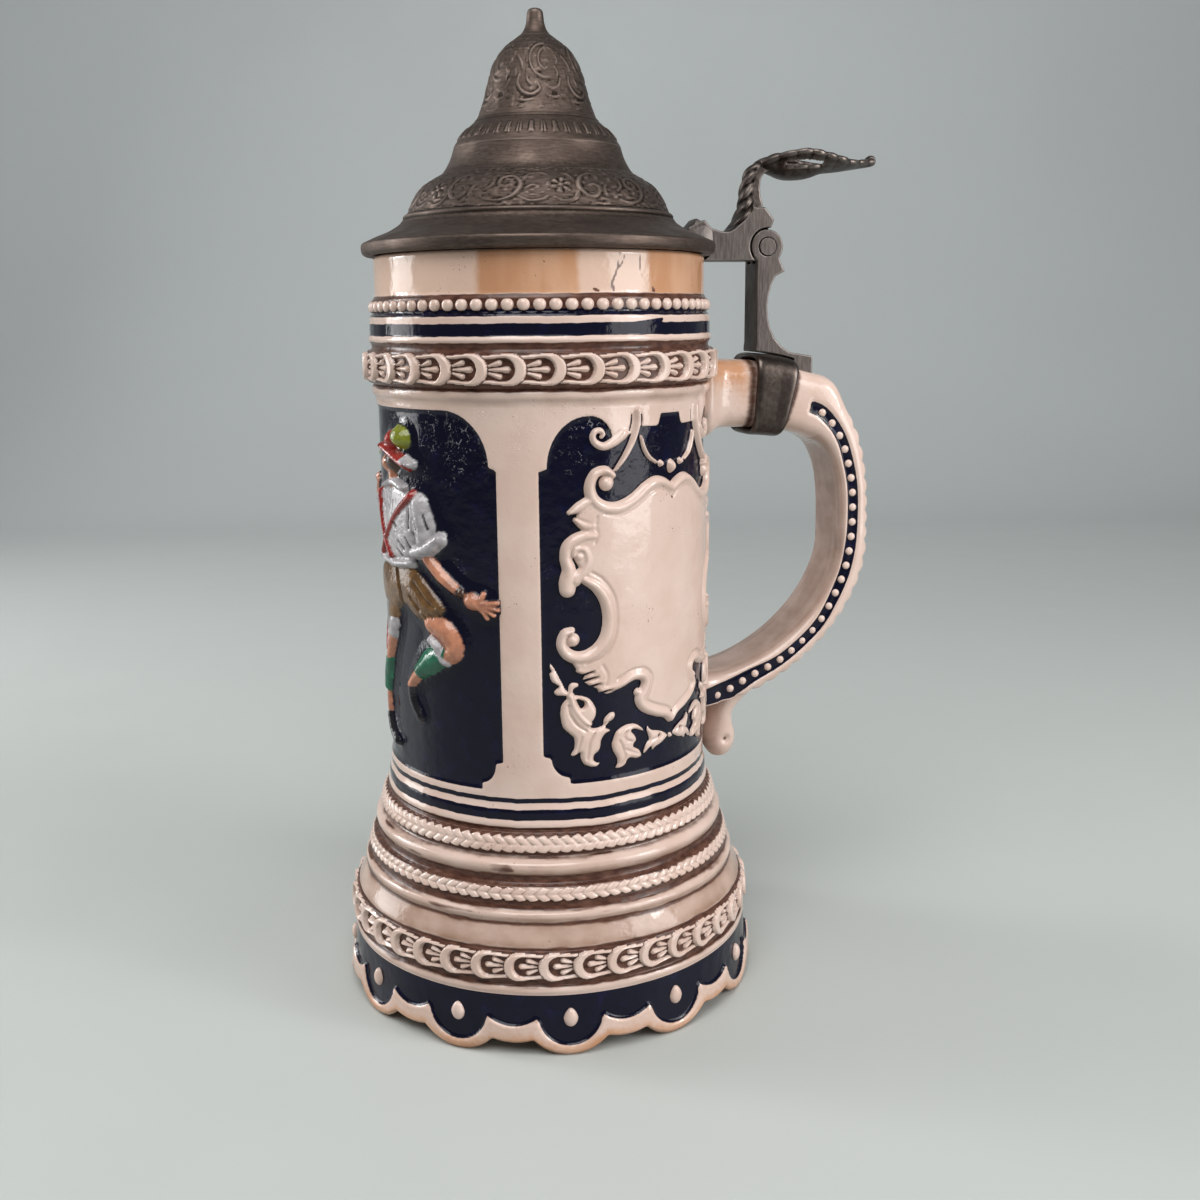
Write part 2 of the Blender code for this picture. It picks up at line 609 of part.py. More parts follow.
def lid_arm():
    """The plate from the boss on the lid's rim to the inner knuckles, with the seat of the thumb lift."""
    front = LID_RADIUS - BOSS_LENGTH
    inner = RIM_RADIUS + LID_OVERHANG / 2
    boss_top = HINGE.z + ARM_BOSS
    boss_side = boss_top - BOSS_LENGTH / 3
    buried = LID_SEAT + LID_EDGE
    seam = from_pin([(-front_end, ARM_RISE) for front_end in ARM_TOP])
    dip = [
        (LID_RADIUS + JOIN_GAP, boss_side),
        (LID_RADIUS + BOSS_LENGTH, HINGE.z + ARM_DIP - BOSS_LENGTH / 6),
        (seam[0][0] - ARM_NECK, HINGE.z + ARM_DIP),
        seam[0],
    ]
    outline = [(inner, HINGE.z - ARM_DROP), (inner, buried), (front, buried), (front, boss_side)]
    outline += [(LID_RADIUS - BOSS_LENGTH / 2, boss_top)] + bezier(dip, 7)
    outline += seam[1:] + from_pin([REAR_SPUR])
    outline += from_pin(arc((0, 0), KNUCKLE_RADIUS, 80, -90 - knuckle_angle(ARM_DROP, 1), 14))
    arm = extruded("lid_arm", outline, HINGE_WIDTH)
    hinge_slots(arm, 0)
    top = lid_outside(JOIN_GAP)
    combine(arm, turned("lid_space", [(0, top[0][1])] + top + [(0, top[-1][1])], LID_STEPS), "DIFFERENCE")
    return arm


def rope():
    """The twisted strands up the front of the thumb lift."""
    foot = (-STEM_BACK - ROPE_RADIUS - STEM_WIDTH / 8, ARM_RISE + JOIN_GAP)
    line = [
        foot,
        (foot[0] - ROPE_RADIUS / 2, LEAF_RISE * ROPE_BULGE),
        (foot[0] + ROPE_RADIUS / 2, LEAF_RISE - ROPE_RADIUS),
        (LEAF_START + 2 * ROPE_RADIUS, LEAF_RISE - ROPE_RADIUS),
    ]
    points = [Vector((x, 0, z)) for x, z in from_pin(bezier(line, ROPE_RINGS))]
    rings = []
    for i, point in enumerate(points):
        run = points[min(i + 1, ROPE_RINGS)] - points[max(i - 1, 0)] if i else Vector((0, 0, 1))
        across = Vector((run.z, 0, -run.x)).normalized()
        ring = []
        twist = math.tau * ROPE_TURNS * i / ROPE_RINGS
        for k in range(ROPE_SIDES):
            turn = math.tau * k / ROPE_SIDES
            radius = ROPE_RADIUS - ROPE_GROOVE * (1 + math.cos(ROPE_STRANDS * (turn - twist)))
            ring.append(point + across * radius * math.cos(turn) + Vector((0, radius * math.sin(turn), 0)))
        rings.append(ring)
    return lofted("rope", rings)


def leaf():
    """The hollow scalloped shell that the thumb presses."""
    length_steps, width_steps = LEAF_GRID
    narrow, wide, power = LEAF_TAPER
    top, bottom = [], []
    for i in range(length_steps + 1):
        along = i / length_steps
        from_crown = (along - LEAF_CROWN) / (LEAF_CROWN if along < LEAF_CROWN else 1 - LEAF_CROWN)
        half = LEAF_WIDTH / 2 * max(math.sin(math.pi * (narrow + (wide - narrow) * along**power)), LEAF_TIP)
        half -= LEAF_SCALLOP_DEPTH * abs(math.cos(LEAF_SCALLOPS * math.pi * along))
        depth = LEAF_DEPTH * half / LEAF_WIDTH * 2
        edge = LEAF_RISE - LEAF_SAG * from_crown**2
        for rows, skin in ((top, 0), (bottom, LEAF_THICKNESS)):
            row = []
            for j in range(width_steps + 1):
                across = 2 * j / width_steps - 1
                behind = LEAF_START + (LEAF_REACH - LEAF_START) * along
                place_in_plane = from_pin([(behind, edge - depth * (1 - across * across) - skin)])[0]
                row.append(Vector((place_in_plane[0], half * across, place_in_plane[1])))
            rows.append(row)
    return lofted("leaf", [upper + lower[::-1] for upper, lower in zip(top, bottom)])


def thumblift():
    foot = ARM_RISE + JOIN_GAP
    back = -STEM_BACK
    front = back - ROPE_RADIUS
    stem = [(front, foot), (back, foot), (back - STEM_WAIST, foot + ROPE_RADIUS)]
    stem += [(back + STEM_FLARE, LEAF_RISE - LEAF_DEPTH), (front, LEAF_RISE - LEAF_DEPTH)]
    lift = extruded("thumblift", from_pin(stem), STEM_WIDTH)
    combine(lift, rope(), "UNION")
    combine(lift, leaf(), "UNION")
    return lift


def empty(name, location, parent=None):
    made = bpy.data.objects.new(name, None)
    bpy.context.collection.objects.link(made)
    made.location = location
    made.parent = parent
    return made


def main():
    for old in list(bpy.data.objects):
        bpy.data.objects.remove(old)
    glaze = material("cream_glaze", (0.72, 0.58, 0.46), 0.18, 0.0)
    ear_glaze = material("handle_glaze", (0.70, 0.55, 0.43), 0.2, 0.0)
    pewter = material("pewter", (0.10, 0.085, 0.078), 0.42, 1.0)
    hinge_metal = material("hinge_pewter", (0.14, 0.12, 0.115), 0.38, 1.0)
    mug_axis = empty("mug_axis", MUG_AXIS)
    lid_axis = empty("lid_hinge_axis", HINGE, mug_axis)
    still = {mug_body: glaze, handle: ear_glaze, handle_collar: pewter}
    still |= {shank: hinge_metal, hinge_pin: hinge_metal}
    moving = {lid: pewter, lid_finial: pewter, lid_arm: hinge_metal, thumblift: hinge_metal}
    for make, finish in still.items():
        place(make(), mug_axis, Vector(), finish)
    for make, finish in moving.items():
        place(make(), lid_axis, HINGE, finish)


main()
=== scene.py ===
"""Looks of a relief-moulded stoneware stein with a hinged pewter lid, built round its CAD frame.

Shapes are drawn in millimetres about the mug's own axis, with the handle towards +X, and are put into the
frame by finished(). Relief is drawn on flat sheets and then wrapped round the barrel.
"""

import math

import bmesh
import bpy
import numpy as np
from mathutils import Matrix, Vector


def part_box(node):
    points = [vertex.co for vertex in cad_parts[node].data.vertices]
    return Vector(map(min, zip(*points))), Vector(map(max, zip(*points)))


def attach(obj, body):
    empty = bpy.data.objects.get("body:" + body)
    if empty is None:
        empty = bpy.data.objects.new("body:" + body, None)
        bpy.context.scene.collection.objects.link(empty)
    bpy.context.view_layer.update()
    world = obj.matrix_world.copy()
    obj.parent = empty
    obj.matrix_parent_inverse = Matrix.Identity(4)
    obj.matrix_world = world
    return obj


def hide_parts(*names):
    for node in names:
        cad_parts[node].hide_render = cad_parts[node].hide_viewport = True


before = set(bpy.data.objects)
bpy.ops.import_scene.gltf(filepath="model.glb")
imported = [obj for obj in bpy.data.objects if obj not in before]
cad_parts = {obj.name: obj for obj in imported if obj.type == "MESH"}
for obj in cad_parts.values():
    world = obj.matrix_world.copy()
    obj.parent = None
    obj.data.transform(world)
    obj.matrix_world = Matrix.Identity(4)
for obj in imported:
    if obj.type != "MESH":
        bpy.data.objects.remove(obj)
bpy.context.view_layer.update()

MM = 0.001
LID_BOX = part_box("lid")
PIN_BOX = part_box("hinge_pin")
AXIS = Vector(((LID_BOX[0].x + LID_BOX[1].x) / 2, 0, 0))
PIN = ((PIN_BOX[0] + PIN_BOX[1]) / 2 - AXIS) / MM
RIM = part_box("mug_body")[1].z / MM
SEED = 7

# Paints, as linear colours
CREAM = (0.625, 0.475, 0.41)
CREAM_SHADE = (0.57, 0.415, 0.345)
STAIN = (0.05, 0.018, 0.011)
STAIN_LIGHT = (0.115, 0.05, 0.033)
WASH = (0.26, 0.155, 0.105)
TAN = (0.47, 0.235, 0.125)
TAN_LIGHT = (0.55, 0.32, 0.20)
TAN_PALE = (0.63, 0.44, 0.345)
COBALT = (0.0022, 0.0022, 0.011)
COBALT_THIN = (0.004, 0.0042, 0.026)
FLESH = (0.50, 0.215, 0.125)
LINEN = (0.43, 0.41, 0.415)
RED = (0.29, 0.022, 0.016)
MOSS = (0.22, 0.25, 0.022)
LEATHER = (0.155, 0.078, 0.026)
GREEN = (0.005, 0.125, 0.065)
HAIR = (0.06, 0.026, 0.012)
BLACK = (0.01, 0.009, 0.012)
FLOOR_PAINT = (0.44, 0.46, 0.44)
BACKDROP_PAINT = (0.64, 0.67, 0.67)


# Curves and fields


def smooth_line(points, per_span=8, closed=False):
    """A curve through given points of any number of coordinates."""
    p = np.asarray(points, float)
    if closed:
        p = np.vstack([p[-1:], p, p[:2]])
    else:
        p = np.vstack([2 * p[:1] - p[1:2], p, 2 * p[-1:] - p[-2:-1]])
    t = np.linspace(0, 1, per_span, endpoint=False)[:, None]
    spans = []
    for a, b, c, d in zip(p, p[1:], p[2:], p[3:]):
        spans.append(b + 0.5 * t * (c - a + t * (2 * a - 5 * b + 4 * c - d + t * (3 * b - a - 3 * c + d))))
    return np.vstack(spans) if closed else np.vstack(spans + [p[-2:-1]])


def step_up(value, low, high):
    """0 below low, 1 above high, smooth between."""
    t = np.clip((value - low) / (high - low), 0, 1)
    return t * t * (3 - 2 * t)


def outside_line(x, z, line):
    """How far each point is outside a line of (x, z, half width), and that half width."""
    away = np.full(x.shape, np.inf)
    width = np.ones(x.shape)
    for (ax, az, aw), (bx, bz, bw) in zip(line, line[1:]):
        dx, dz = bx - ax, bz - az
        t = np.clip(((x - ax) * dx + (z - az) * dz) / max(dx * dx + dz * dz, 1e-9), 0, 1)
        half = aw + (bw - aw) * t
        gap = np.hypot(x - ax - dx * t, z - az - dz * t) - half
        nearer = gap < away
        away = np.where(nearer, gap, away)
        width = np.where(nearer, half, width)
    return away, width


def inside_outline(x, z, outline):
    """How far each point is inside a closed outline, below 0 outside it."""
    near = np.full(x.shape, np.inf)
    odd = np.zeros(x.shape, bool)
    for (ax, az), (bx, bz) in zip(outline, np.roll(outline, -1, axis=0)):
        dx, dz = bx - ax, bz - az
        t = np.clip(((x - ax) * dx + (z - az) * dz) / max(dx * dx + dz * dz, 1e-9), 0, 1)
        near = np.minimum(near, np.hypot(x - ax - dx * t, z - az - dz * t))
        if az != bz:
            odd ^= ((az > z) != (bz > z)) & (x < ax + (z - az) * dx / (bz - az))
    return np.where(odd, near, -near)


def soft_noise(rows, columns, cells_up, cells_round, seed):
    """Smooth random patches between 0 and 1 that close up round the columns."""
    values = np.random.default_rng(seed).random((cells_up + 2, cells_round))
    v = np.linspace(0, cells_up, rows)
    u = np.arange(columns) * cells_round / columns
    i, j = v.astype(int), u.astype(int)
    fv = (v - i)[:, None]
    fu = (u - j)[None, :]
    fv, fu = fv * fv * (3 - 2 * fv), fu * fu * (3 - 2 * fu)
    k = (j + 1) % cells_round
    low = values[i][:, j] * (1 - fu) + values[i][:, k] * fu
    high = values[i + 1][:, j] * (1 - fu) + values[i + 1][:, k] * fu
    return low * (1 - fv) + high * fv


def as_paint_edge(inside):
    """Distance inside a painted field, kept between 0 and 1 with its edge at one half."""
    return np.clip(0.5 + inside / 2, 0, 1)


# Meshes


def new_mesh(name, points, face_groups, fields=(), paint=None):
    """A mesh in metres, from points in millimetres and groups of equal-sided faces."""
    mesh = bpy.data.meshes.new(name)
    mesh.vertices.add(len(points))
    mesh.vertices.foreach_set("co", (np.asarray(points, float) * MM).ravel())
    corners = np.concatenate([np.asarray(g).ravel() for g in face_groups])
    counts = np.concatenate([np.full(len(g), len(g[0])) for g in face_groups])
    mesh.loops.add(len(corners))
    mesh.loops.foreach_set("vertex_index", corners.astype(np.int32))
    mesh.polygons.add(len(counts))
    mesh.polygons.foreach_set("loop_start", (np.cumsum(counts) - counts).astype(np.int32))
    mesh.update(calc_edges=True)
    for field, values in dict(fields).items():
        attribute = mesh.attributes.new(field, "FLOAT", "POINT")
        attribute.data.foreach_set("value", np.asarray(values, np.float32).ravel())
    if paint is not None:
        attribute = mesh.attributes.new("paint", "FLOAT_COLOR", "POINT")
        colours = np.ones((len(points), 4), np.float32)
        colours[:, :3] = np.asarray(paint).reshape(-1, 3)
        attribute.data.foreach_set("color", colours.ravel())
    mesh.shade_smooth()
    return mesh


def grid_faces(rows, columns, closed_rows=False, closed_columns=False):
    """Four-sided faces of a grid of points, counted row by row."""
    i = np.arange(rows if closed_rows else rows - 1)
    j = np.arange(columns if closed_columns else columns - 1)
    i, j = (a.ravel() for a in np.meshgrid(i, j, indexing="ij"))
    up, on = (i + 1) % rows, (j + 1) % columns
    return np.stack([i * columns + j, i * columns + on, up * columns + on, up * columns + j], 1)


def shell_faces(faces, count):
    """Faces of a closed shell: a sheet, its back, and walls round its edge; the back's points come after the front's."""
    edges = np.stack([faces, np.roll(faces, -1, axis=1)], -1).reshape(-1, 2)
    key = np.sort(edges, axis=1).astype(np.int64)
    _, first, seen = np.unique(key[:, 0] * count + key[:, 1], return_index=True, return_counts=True)
    rim = edges[first[seen == 1]]
    walls = np.stack([rim[:, 1], rim[:, 0], rim[:, 0] + count, rim[:, 1] + count], 1)
    return np.vstack([faces, faces[:, ::-1] + count, walls])


def tidied(mesh, distance=0.002 * MM):
    """Merges doubled points and turns the faces outwards."""
    shape = bmesh.new()
    shape.from_mesh(mesh)
    bmesh.ops.remove_doubles(shape, verts=shape.verts, dist=distance)
    bmesh.ops.dissolve_degenerate(shape, edges=shape.edges, dist=distance / 10)
    bmesh.ops.recalc_face_normals(shape, faces=shape.faces)
    shape.to_mesh(mesh)
    shape.free()
    mesh.shade_smooth()
    return mesh


def new_object(name, mesh):
    made = bpy.data.objects.new(name, mesh)
    bpy.context.scene.collection.objects.link(made)
    return made


def finished(name, mesh, finish, body, replaced=(), at_axis=True):
    """A finished piece: its place is put into its mesh, and it rides on a body."""
    if at_axis:
        mesh.transform(Matrix.Translation(AXIS))
    mesh.materials.clear()
    mesh.materials.append(finish)
    piece = new_object(name, mesh)
    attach(piece, body)
    if replaced:
        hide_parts(*replaced)
    return piece


def turned_mesh(name, radius, height, fields=(), ring=False):
    """A closed skin round the axis from rows of radii and heights, one column for each turn step."""
    rows, columns = radius.shape
    turn = np.arange(columns) * math.tau / columns
    points = np.stack([radius * np.cos(turn), radius * np.sin(turn), height], -1).reshape(-1, 3)
    faces = grid_faces(rows, columns, closed_rows=ring, closed_columns=True)
    return tidied(new_mesh(name, points, [faces], fields))


def tube_mesh(name, line, sides, section=None):
    """A closed tube along a line of (x, y, z, radius in its plane, radius across), bent in the XZ plane."""
    centre, reach, across = line[:, :3], line[:, 3], line[:, 4]
    run = np.gradient(centre, axis=0)
    normal = np.stack([run[:, 2], np.zeros(len(run)), -run[:, 0]], 1)
    normal /= np.linalg.norm(normal, axis=1)[:, None]
    turn = np.arange(sides) * math.tau / sides
    swell = np.ones((len(line), sides)) if section is None else section(len(line), turn)
    ring = normal[:, None, :] * (reach[:, None] * swell * np.cos(turn))[..., None]
    ring[..., 1] += across[:, None] * swell * np.sin(turn)
    points = (centre[:, None, :] + ring).reshape(-1, 3)
    ends = np.arange(sides)
    caps = np.stack([ends[::-1], ends + (len(line) - 1) * sides])
    return tidied(new_mesh(name, points, [grid_faces(len(line), sides, closed_columns=True), caps]))


def joined(name, meshes):
    """One mesh from several."""
    shape = bmesh.new()
    for mesh in meshes:
        shape.from_mesh(mesh)
    made = bpy.data.meshes.new(name)
    shape.to_mesh(made)
    shape.free()
    return made


def with_modifiers(mesh, settings):
    """The plain mesh that a stack of modifiers makes of another."""
    made = new_object("in_work", mesh)
    for kind, values in settings:
        modifier = made.modifiers.new(kind, kind)
        for key, value in values.items():
            setattr(modifier, key, value)
    graph = bpy.context.evaluated_depsgraph_get()
    result = bpy.data.meshes.new_from_object(made.evaluated_get(graph))
    bpy.data.objects.remove(made)
    result.shade_smooth()
    return result


def add_wear(mesh, rounds=2, strength=9.0):
    """Writes how far each point stands out from its neighbours: edges above 0, hollows below."""
    count = len(mesh.vertices)
    points = np.empty(count * 3)
    normals = np.empty(count * 3)
    edges = np.empty(len(mesh.edges) * 2, np.int32)
    mesh.vertices.foreach_get("co", points)
    mesh.vertices.foreach_get("normal", normals)
    mesh.edges.foreach_get("vertices", edges)
    points, normals, edges = points.reshape(-1, 3), normals.reshape(-1, 3), edges.reshape(-1, 2)
    one, two = np.concatenate([edges, edges[:, ::-1]]).T
    links = np.maximum(np.bincount(one, minlength=count), 1)

    def neighbours(values):
        return np.bincount(one, weights=values[two], minlength=count) / links

    middle = np.stack([neighbours(points[:, k]) for k in range(3)], 1)
    length = np.bincount(
        one, weights=np.linalg.norm(points[one] - points[two], axis=1), minlength=count
    ) / links
    out = ((points - middle) * normals).sum(1) / np.maximum(length, 1e-9)
    for _ in range(rounds):
        out = 0.5 * out + 0.5 * neighbours(out)
    attribute = mesh.attributes.new("wear", "FLOAT", "POINT")
    attribute.data.foreach_set("value", np.clip(out * strength, -1, 1).astype(np.float32))
    return mesh


# Geometry Nodes: rings of cells, and beads along a line


def node_tree(name, sockets):
    tree = bpy.data.node_groups.new(name, "GeometryNodeTree")
    for label, kind in sockets:
        tree.interface.new_socket(label, in_out="INPUT", socket_type="NodeSocket" + kind)
    tree.interface.new_socket("Geometry", in_out="OUTPUT", socket_type="NodeSocketGeometry")
    return tree


def add_node(tree, kind, links=(), **settings):
    """Adds a node, sets its properties, and links or sets its inputs by name or place."""
    node = tree.nodes.new(kind)
    for key, value in settings.items():
        setattr(node, key, value)
    for key, value in dict(links).items():
        if isinstance(value, bpy.types.NodeSocket):
            tree.links.new(value, node.inputs[key])
        else:
            node.inputs[key].default_value = value
    return node


def close_tree(tree, geometry, given):
    """Realizes the instances, merges what meets, and sets the finish."""
    real = add_node(tree, "GeometryNodeRealizeInstances", {"Geometry": geometry})
    merged = add_node(
        tree, "GeometryNodeMergeByDistance", {"Geometry": real.outputs[0], "Distance": given.outputs["Join distance"]}
    )
    smooth = add_node(tree, "GeometryNodeSetShadeSmooth", {"Geometry": merged.outputs[0]})
    painted = add_node(
        tree, "GeometryNodeSetMaterial", {"Geometry": smooth.outputs[0], "Material": given.outputs["Finish"]}
    )
    add_node(tree, "NodeGroupOutput", {"Geometry": painted.outputs[0]})


def ring_tree():
    """Copies of one cell, turned about the axis."""
    tree = node_tree(
        "ring_of_cells",
        [("Cell", "Object"), ("Count", "Int"), ("First turn", "Float"), ("Join distance", "Float"), ("Finish", "Material")],
    )
    given = add_node(tree, "NodeGroupInput")
    points = add_node(tree, "GeometryNodePoints", {"Count": given.outputs["Count"]})
    index = add_node(tree, "GeometryNodeInputIndex")
    pitch = add_node(tree, "ShaderNodeMath", {0: math.tau, 1: given.outputs["Count"]}, operation="DIVIDE")
    turn = add_node(
        tree,
        "ShaderNodeMath",
        {0: index.outputs[0], 1: pitch.outputs[0], 2: given.outputs["First turn"]},
        operation="MULTIPLY_ADD",
    )
    rotation = add_node(tree, "ShaderNodeCombineXYZ", {"Z": turn.outputs[0]})
    cell = add_node(tree, "GeometryNodeObjectInfo", {"Object": given.outputs["Cell"]})
    copies = add_node(
        tree,
        "GeometryNodeInstanceOnPoints",
        {"Points": points.outputs[0], "Instance": cell.outputs["Geometry"], "Rotation": rotation.outputs[0]},
    )
    close_tree(tree, copies.outputs[0], given)
    return tree


def line_tree():
    """Copies of one bead, evenly along a line."""
    tree = node_tree(
        "beads_on_line",
        [
            ("Geometry", "Geometry"),
            ("Bead", "Object"),
            ("Count", "Int"),
            ("Join distance", "Float"),
            ("Finish", "Material"),
        ],
    )
    given = add_node(tree, "NodeGroupInput")
    curve = add_node(tree, "GeometryNodeMeshToCurve", {"Mesh": given.outputs["Geometry"]})
    even = add_node(tree, "GeometryNodeResampleCurve", {"Curve": curve.outputs[0], "Count": given.outputs["Count"]})
    bead = add_node(tree, "GeometryNodeObjectInfo", {"Object": given.outputs["Bead"]})
    copies = add_node(
        tree, "GeometryNodeInstanceOnPoints", {"Points": even.outputs[0], "Instance": bead.outputs["Geometry"]}
    )
    close_tree(tree, copies.outputs[0], given)
    return tree


def grown(tree, host_mesh, inputs):
    """The plain mesh that a node tree makes, with its inputs set by their identifiers."""
    host = new_object("host", host_mesh)
    modifier = host.modifiers.new(tree.name, "NODES")
    modifier.node_group = tree
    for item in tree.interface.items_tree:
        if item.in_out == "INPUT" and item.name in inputs:
            modifier[item.identifier] = inputs[item.name]
    graph = bpy.context.evaluated_depsgraph_get()
    mesh = bpy.data.meshes.new_from_object(host.evaluated_get(graph))
    bpy.data.objects.remove(host)
    return mesh


def ring_mesh(cell_mesh, count, first_turn, finish, join=0.004):
    cell = new_object("cell", cell_mesh)
    inputs = {"Cell": cell, "Count": count, "First turn": first_turn, "Join distance": join * MM, "Finish": finish}
    mesh = grown(RING_TREE, bpy.data.meshes.new("host"), inputs)
    bpy.data.objects.remove(cell)
    return mesh


RING_TREE = ring_tree()
LINE_TREE = line_tree()


# Materials


class Paint:
    """Short forms for the nodes of one material."""

    def __init__(self, name):
        self.material = bpy.data.materials.new(name)
        self.material.use_nodes = True
        self.tree = self.material.node_tree
        self.shader = self.tree.nodes["Principled BSDF"]
        self.place = self.tree.nodes.new("ShaderNodeTexCoord").outputs["Object"]

    def field(self, name):
        return add_node(self.tree, "ShaderNodeAttribute", attribute_name=name).outputs["Fac"]

    def colour_field(self, name):
        return add_node(self.tree, "ShaderNodeAttribute", attribute_name=name).outputs["Color"]

    def noise(self, size, detail=2.0, stretch=(1, 1, 1)):
        """Noise with patches of about that many millimetres."""
        place = add_node(self.tree, "ShaderNodeMapping", {"Vector": self.place, "Scale": stretch}).outputs[0]
        inputs = {"Vector": place, "Scale": 1 / (size * MM), "Detail": detail}
        return add_node(self.tree, "ShaderNodeTexNoise", inputs).outputs["Fac"]

    def cells(self, size):
        """Distance to the middle of random cells of that many millimetres."""
        inputs = {"Vector": self.place, "Scale": 1 / (size * MM)}
        return add_node(self.tree, "ShaderNodeTexVoronoi", inputs).outputs["Distance"]

    def math(self, operation, *values):
        return add_node(self.tree, "ShaderNodeMath", dict(enumerate(values)), operation=operation).outputs[0]

    def ramp(self, value, low, high, start=0.0, end=1.0):
        inputs = {"Value": value, "From Min": low, "From Max": high, "To Min": start, "To Max": end}
        return add_node(self.tree, "ShaderNodeMapRange", inputs, interpolation_type="SMOOTHSTEP").outputs[0]

    def mix(self, share, one, two):
        node = add_node(self.tree, "ShaderNodeMix", data_type="RGBA")
        for socket, value in zip((node.inputs[0], node.inputs[6], node.inputs[7]), (share, one, two)):
            if isinstance(value, bpy.types.NodeSocket):
                self.tree.links.new(value, socket)
            else:
                socket.default_value = (*value, 1) if isinstance(value, tuple) else value
        return node.outputs[2]

    def bump(self, height, strength, distance):
        inputs = {"Height": height, "Strength": strength, "Distance": distance * MM}
        normal = add_node(self.tree, "ShaderNodeBump", inputs).outputs[0]
        self.tree.links.new(normal, self.shader.inputs["Normal"])

    def finish(self, colour, roughness):
        self.tree.links.new(colour, self.shader.inputs["Base Color"])
        self.tree.links.new(roughness, self.shader.inputs["Roughness"])
        return self.material


def glazed_stoneware():
    """Cream glaze, brown in its stained hollows and where shade is painted (on the tops and bottoms of the beads and
    beside the round end of each chain link); tan lustre, paler in places, partly from a painted highlight; and cobalt
    painted on.
    """
    p = Paint("glazed_stoneware")
    patches = p.noise(14, 3)
    fine = p.noise(1.1, 3)
    middling = p.noise(4, 4)
    brushed = p.noise(2.6, 4, (1, 1, 2.6))
    cream = p.mix(p.ramp(patches, 0.35, 0.7), CREAM, CREAM_SHADE)
    specks = p.math("MULTIPLY", p.ramp(p.noise(0.55, 1), 0.70, 0.76), p.ramp(p.noise(9, 1), 0.55, 0.68))
    cream = p.mix(p.math("MULTIPLY", specks, 0.75), cream, STAIN)
    thin = p.math("MULTIPLY", p.field("wash"), p.ramp(p.noise(8, 4, (1, 1, 1.6)), 0.3, 0.7, 0.55, 1.0))
    cream = p.mix(thin, cream, WASH)
    # The brown share follows the stain field, which holds real stains and also painted shade on the beads and chain
    # links
    brown = p.mix(p.ramp(brushed, 0.3, 0.7), STAIN, STAIN_LIGHT)
    patchy = p.math("MULTIPLY_ADD", p.math("SUBTRACT", brushed, 0.5), 0.5, p.field("stain_and_shade"))
    stained = p.math("MULTIPLY", p.ramp(patchy, 0.2, 0.8), p.ramp(p.field("stain_and_shade"), 0.02, 0.2))
    colour = p.mix(stained, cream, brown)
    lustre = p.mix(p.ramp(p.noise(11, 3, (1, 1, 0.35)), 0.4, 0.68), TAN, TAN_LIGHT)
    # Pale lustre: partly a paler patch of the glaze, partly a painted highlight where the lamps reflect
    pale = p.math("MULTIPLY_ADD", p.math("SUBTRACT", p.noise(5, 4, (1, 1, 0.5)), 0.5), 0.8, p.field("pale"))
    lustre = p.mix(p.ramp(pale, 0.3, 0.85), lustre, TAN_PALE)
    lustre = p.mix(p.math("MULTIPLY", specks, 0.8), lustre, STAIN)
    edge = p.math("MULTIPLY_ADD", p.math("SUBTRACT", fine, 0.5), 0.07, p.field("tan"))
    colour = p.mix(p.ramp(edge, 0.44, 0.56), colour, lustre)
    colour = p.mix(p.ramp(p.field("crack"), 0.3, 0.8), colour, STAIN_LIGHT)
    cobalt = p.mix(p.ramp(middling, 0.5, 0.8), COBALT, COBALT_THIN)
    hairlines = p.math("ABSOLUTE", p.math("SUBTRACT", p.noise(3.5, 5), 0.5))
    hairlines = p.math("MULTIPLY", p.ramp(hairlines, 0.014, 0.004), p.ramp(p.noise(1.6, 2), 0.48, 0.56))
    scratches = p.math("MAXIMUM", hairlines, p.ramp(p.noise(0.5, 6), 0.63, 0.68))
    scratches = p.math("MULTIPLY", scratches, p.ramp(p.noise(6, 4), 0.46, 0.62))
    scratches = p.math("MULTIPLY", scratches, p.field("scratched"))
    cobalt = p.mix(p.math("MULTIPLY", scratches, 0.3), cobalt, LINEN)
    edge = p.math("MULTIPLY_ADD", p.math("SUBTRACT", fine, 0.5), 0.07, p.field("blue"))
    blue = p.ramp(edge, 0.46, 0.54)
    colour = p.mix(blue, colour, cobalt)
    matt = p.math("MULTIPLY_ADD", stained, 0.14, p.ramp(patches, 0.3, 0.7, 0.07, 0.14))
    gloss = p.math("MULTIPLY_ADD", stained, -0.2, 0.5)
    gloss = p.math("MULTIPLY_ADD", blue, -0.26, gloss)
    p.tree.links.new(gloss, p.shader.inputs["Specular IOR Level"])
    uneven = p.math("MULTIPLY_ADD", scratches, 1.0, p.math("MULTIPLY_ADD", middling, 1.2, p.noise(13, 2)))
    p.bump(uneven, 0.45, 0.4)
    return p.finish(colour, matt)


def painted_relief():
    """Bright enamels on the figures, dark in their folds and where they sink into the cobalt."""
    p = Paint("painted_relief")
    middling = p.noise(2.4, 4)
    shade = p.mix(p.ramp(middling, 0.32, 0.7), (0.62, 0.6, 0.62), (1.0, 1.0, 1.0))
    node = add_node(p.tree, "ShaderNodeMix", {0: 1.0}, data_type="RGBA", blend_type="MULTIPLY")
    p.tree.links.new(p.colour_field("paint"), node.inputs[6])
    p.tree.links.new(shade, node.inputs[7])
    colour = p.mix(p.ramp(p.field("stain_and_shade"), 0.2, 0.8), node.outputs[2], BLACK)
    rough_edge = p.math("MULTIPLY_ADD", p.math("SUBTRACT", p.noise(1.2, 3), 0.5), 0.9, p.field("rise"))
    sunk = p.ramp(rough_edge, 1.05, 0.45)
    colour = p.mix(sunk, colour, COBALT)
    p.tree.links.new(p.math("MULTIPLY_ADD", sunk, -0.26, 0.5), p.shader.inputs["Specular IOR Level"])
    p.bump(p.math("MULTIPLY_ADD", middling, 0.9, p.noise(0.9, 2)), 0.32, 0.4)
    return p.finish(colour, p.ramp(middling, 0.3, 0.7, 0.05, 0.11))


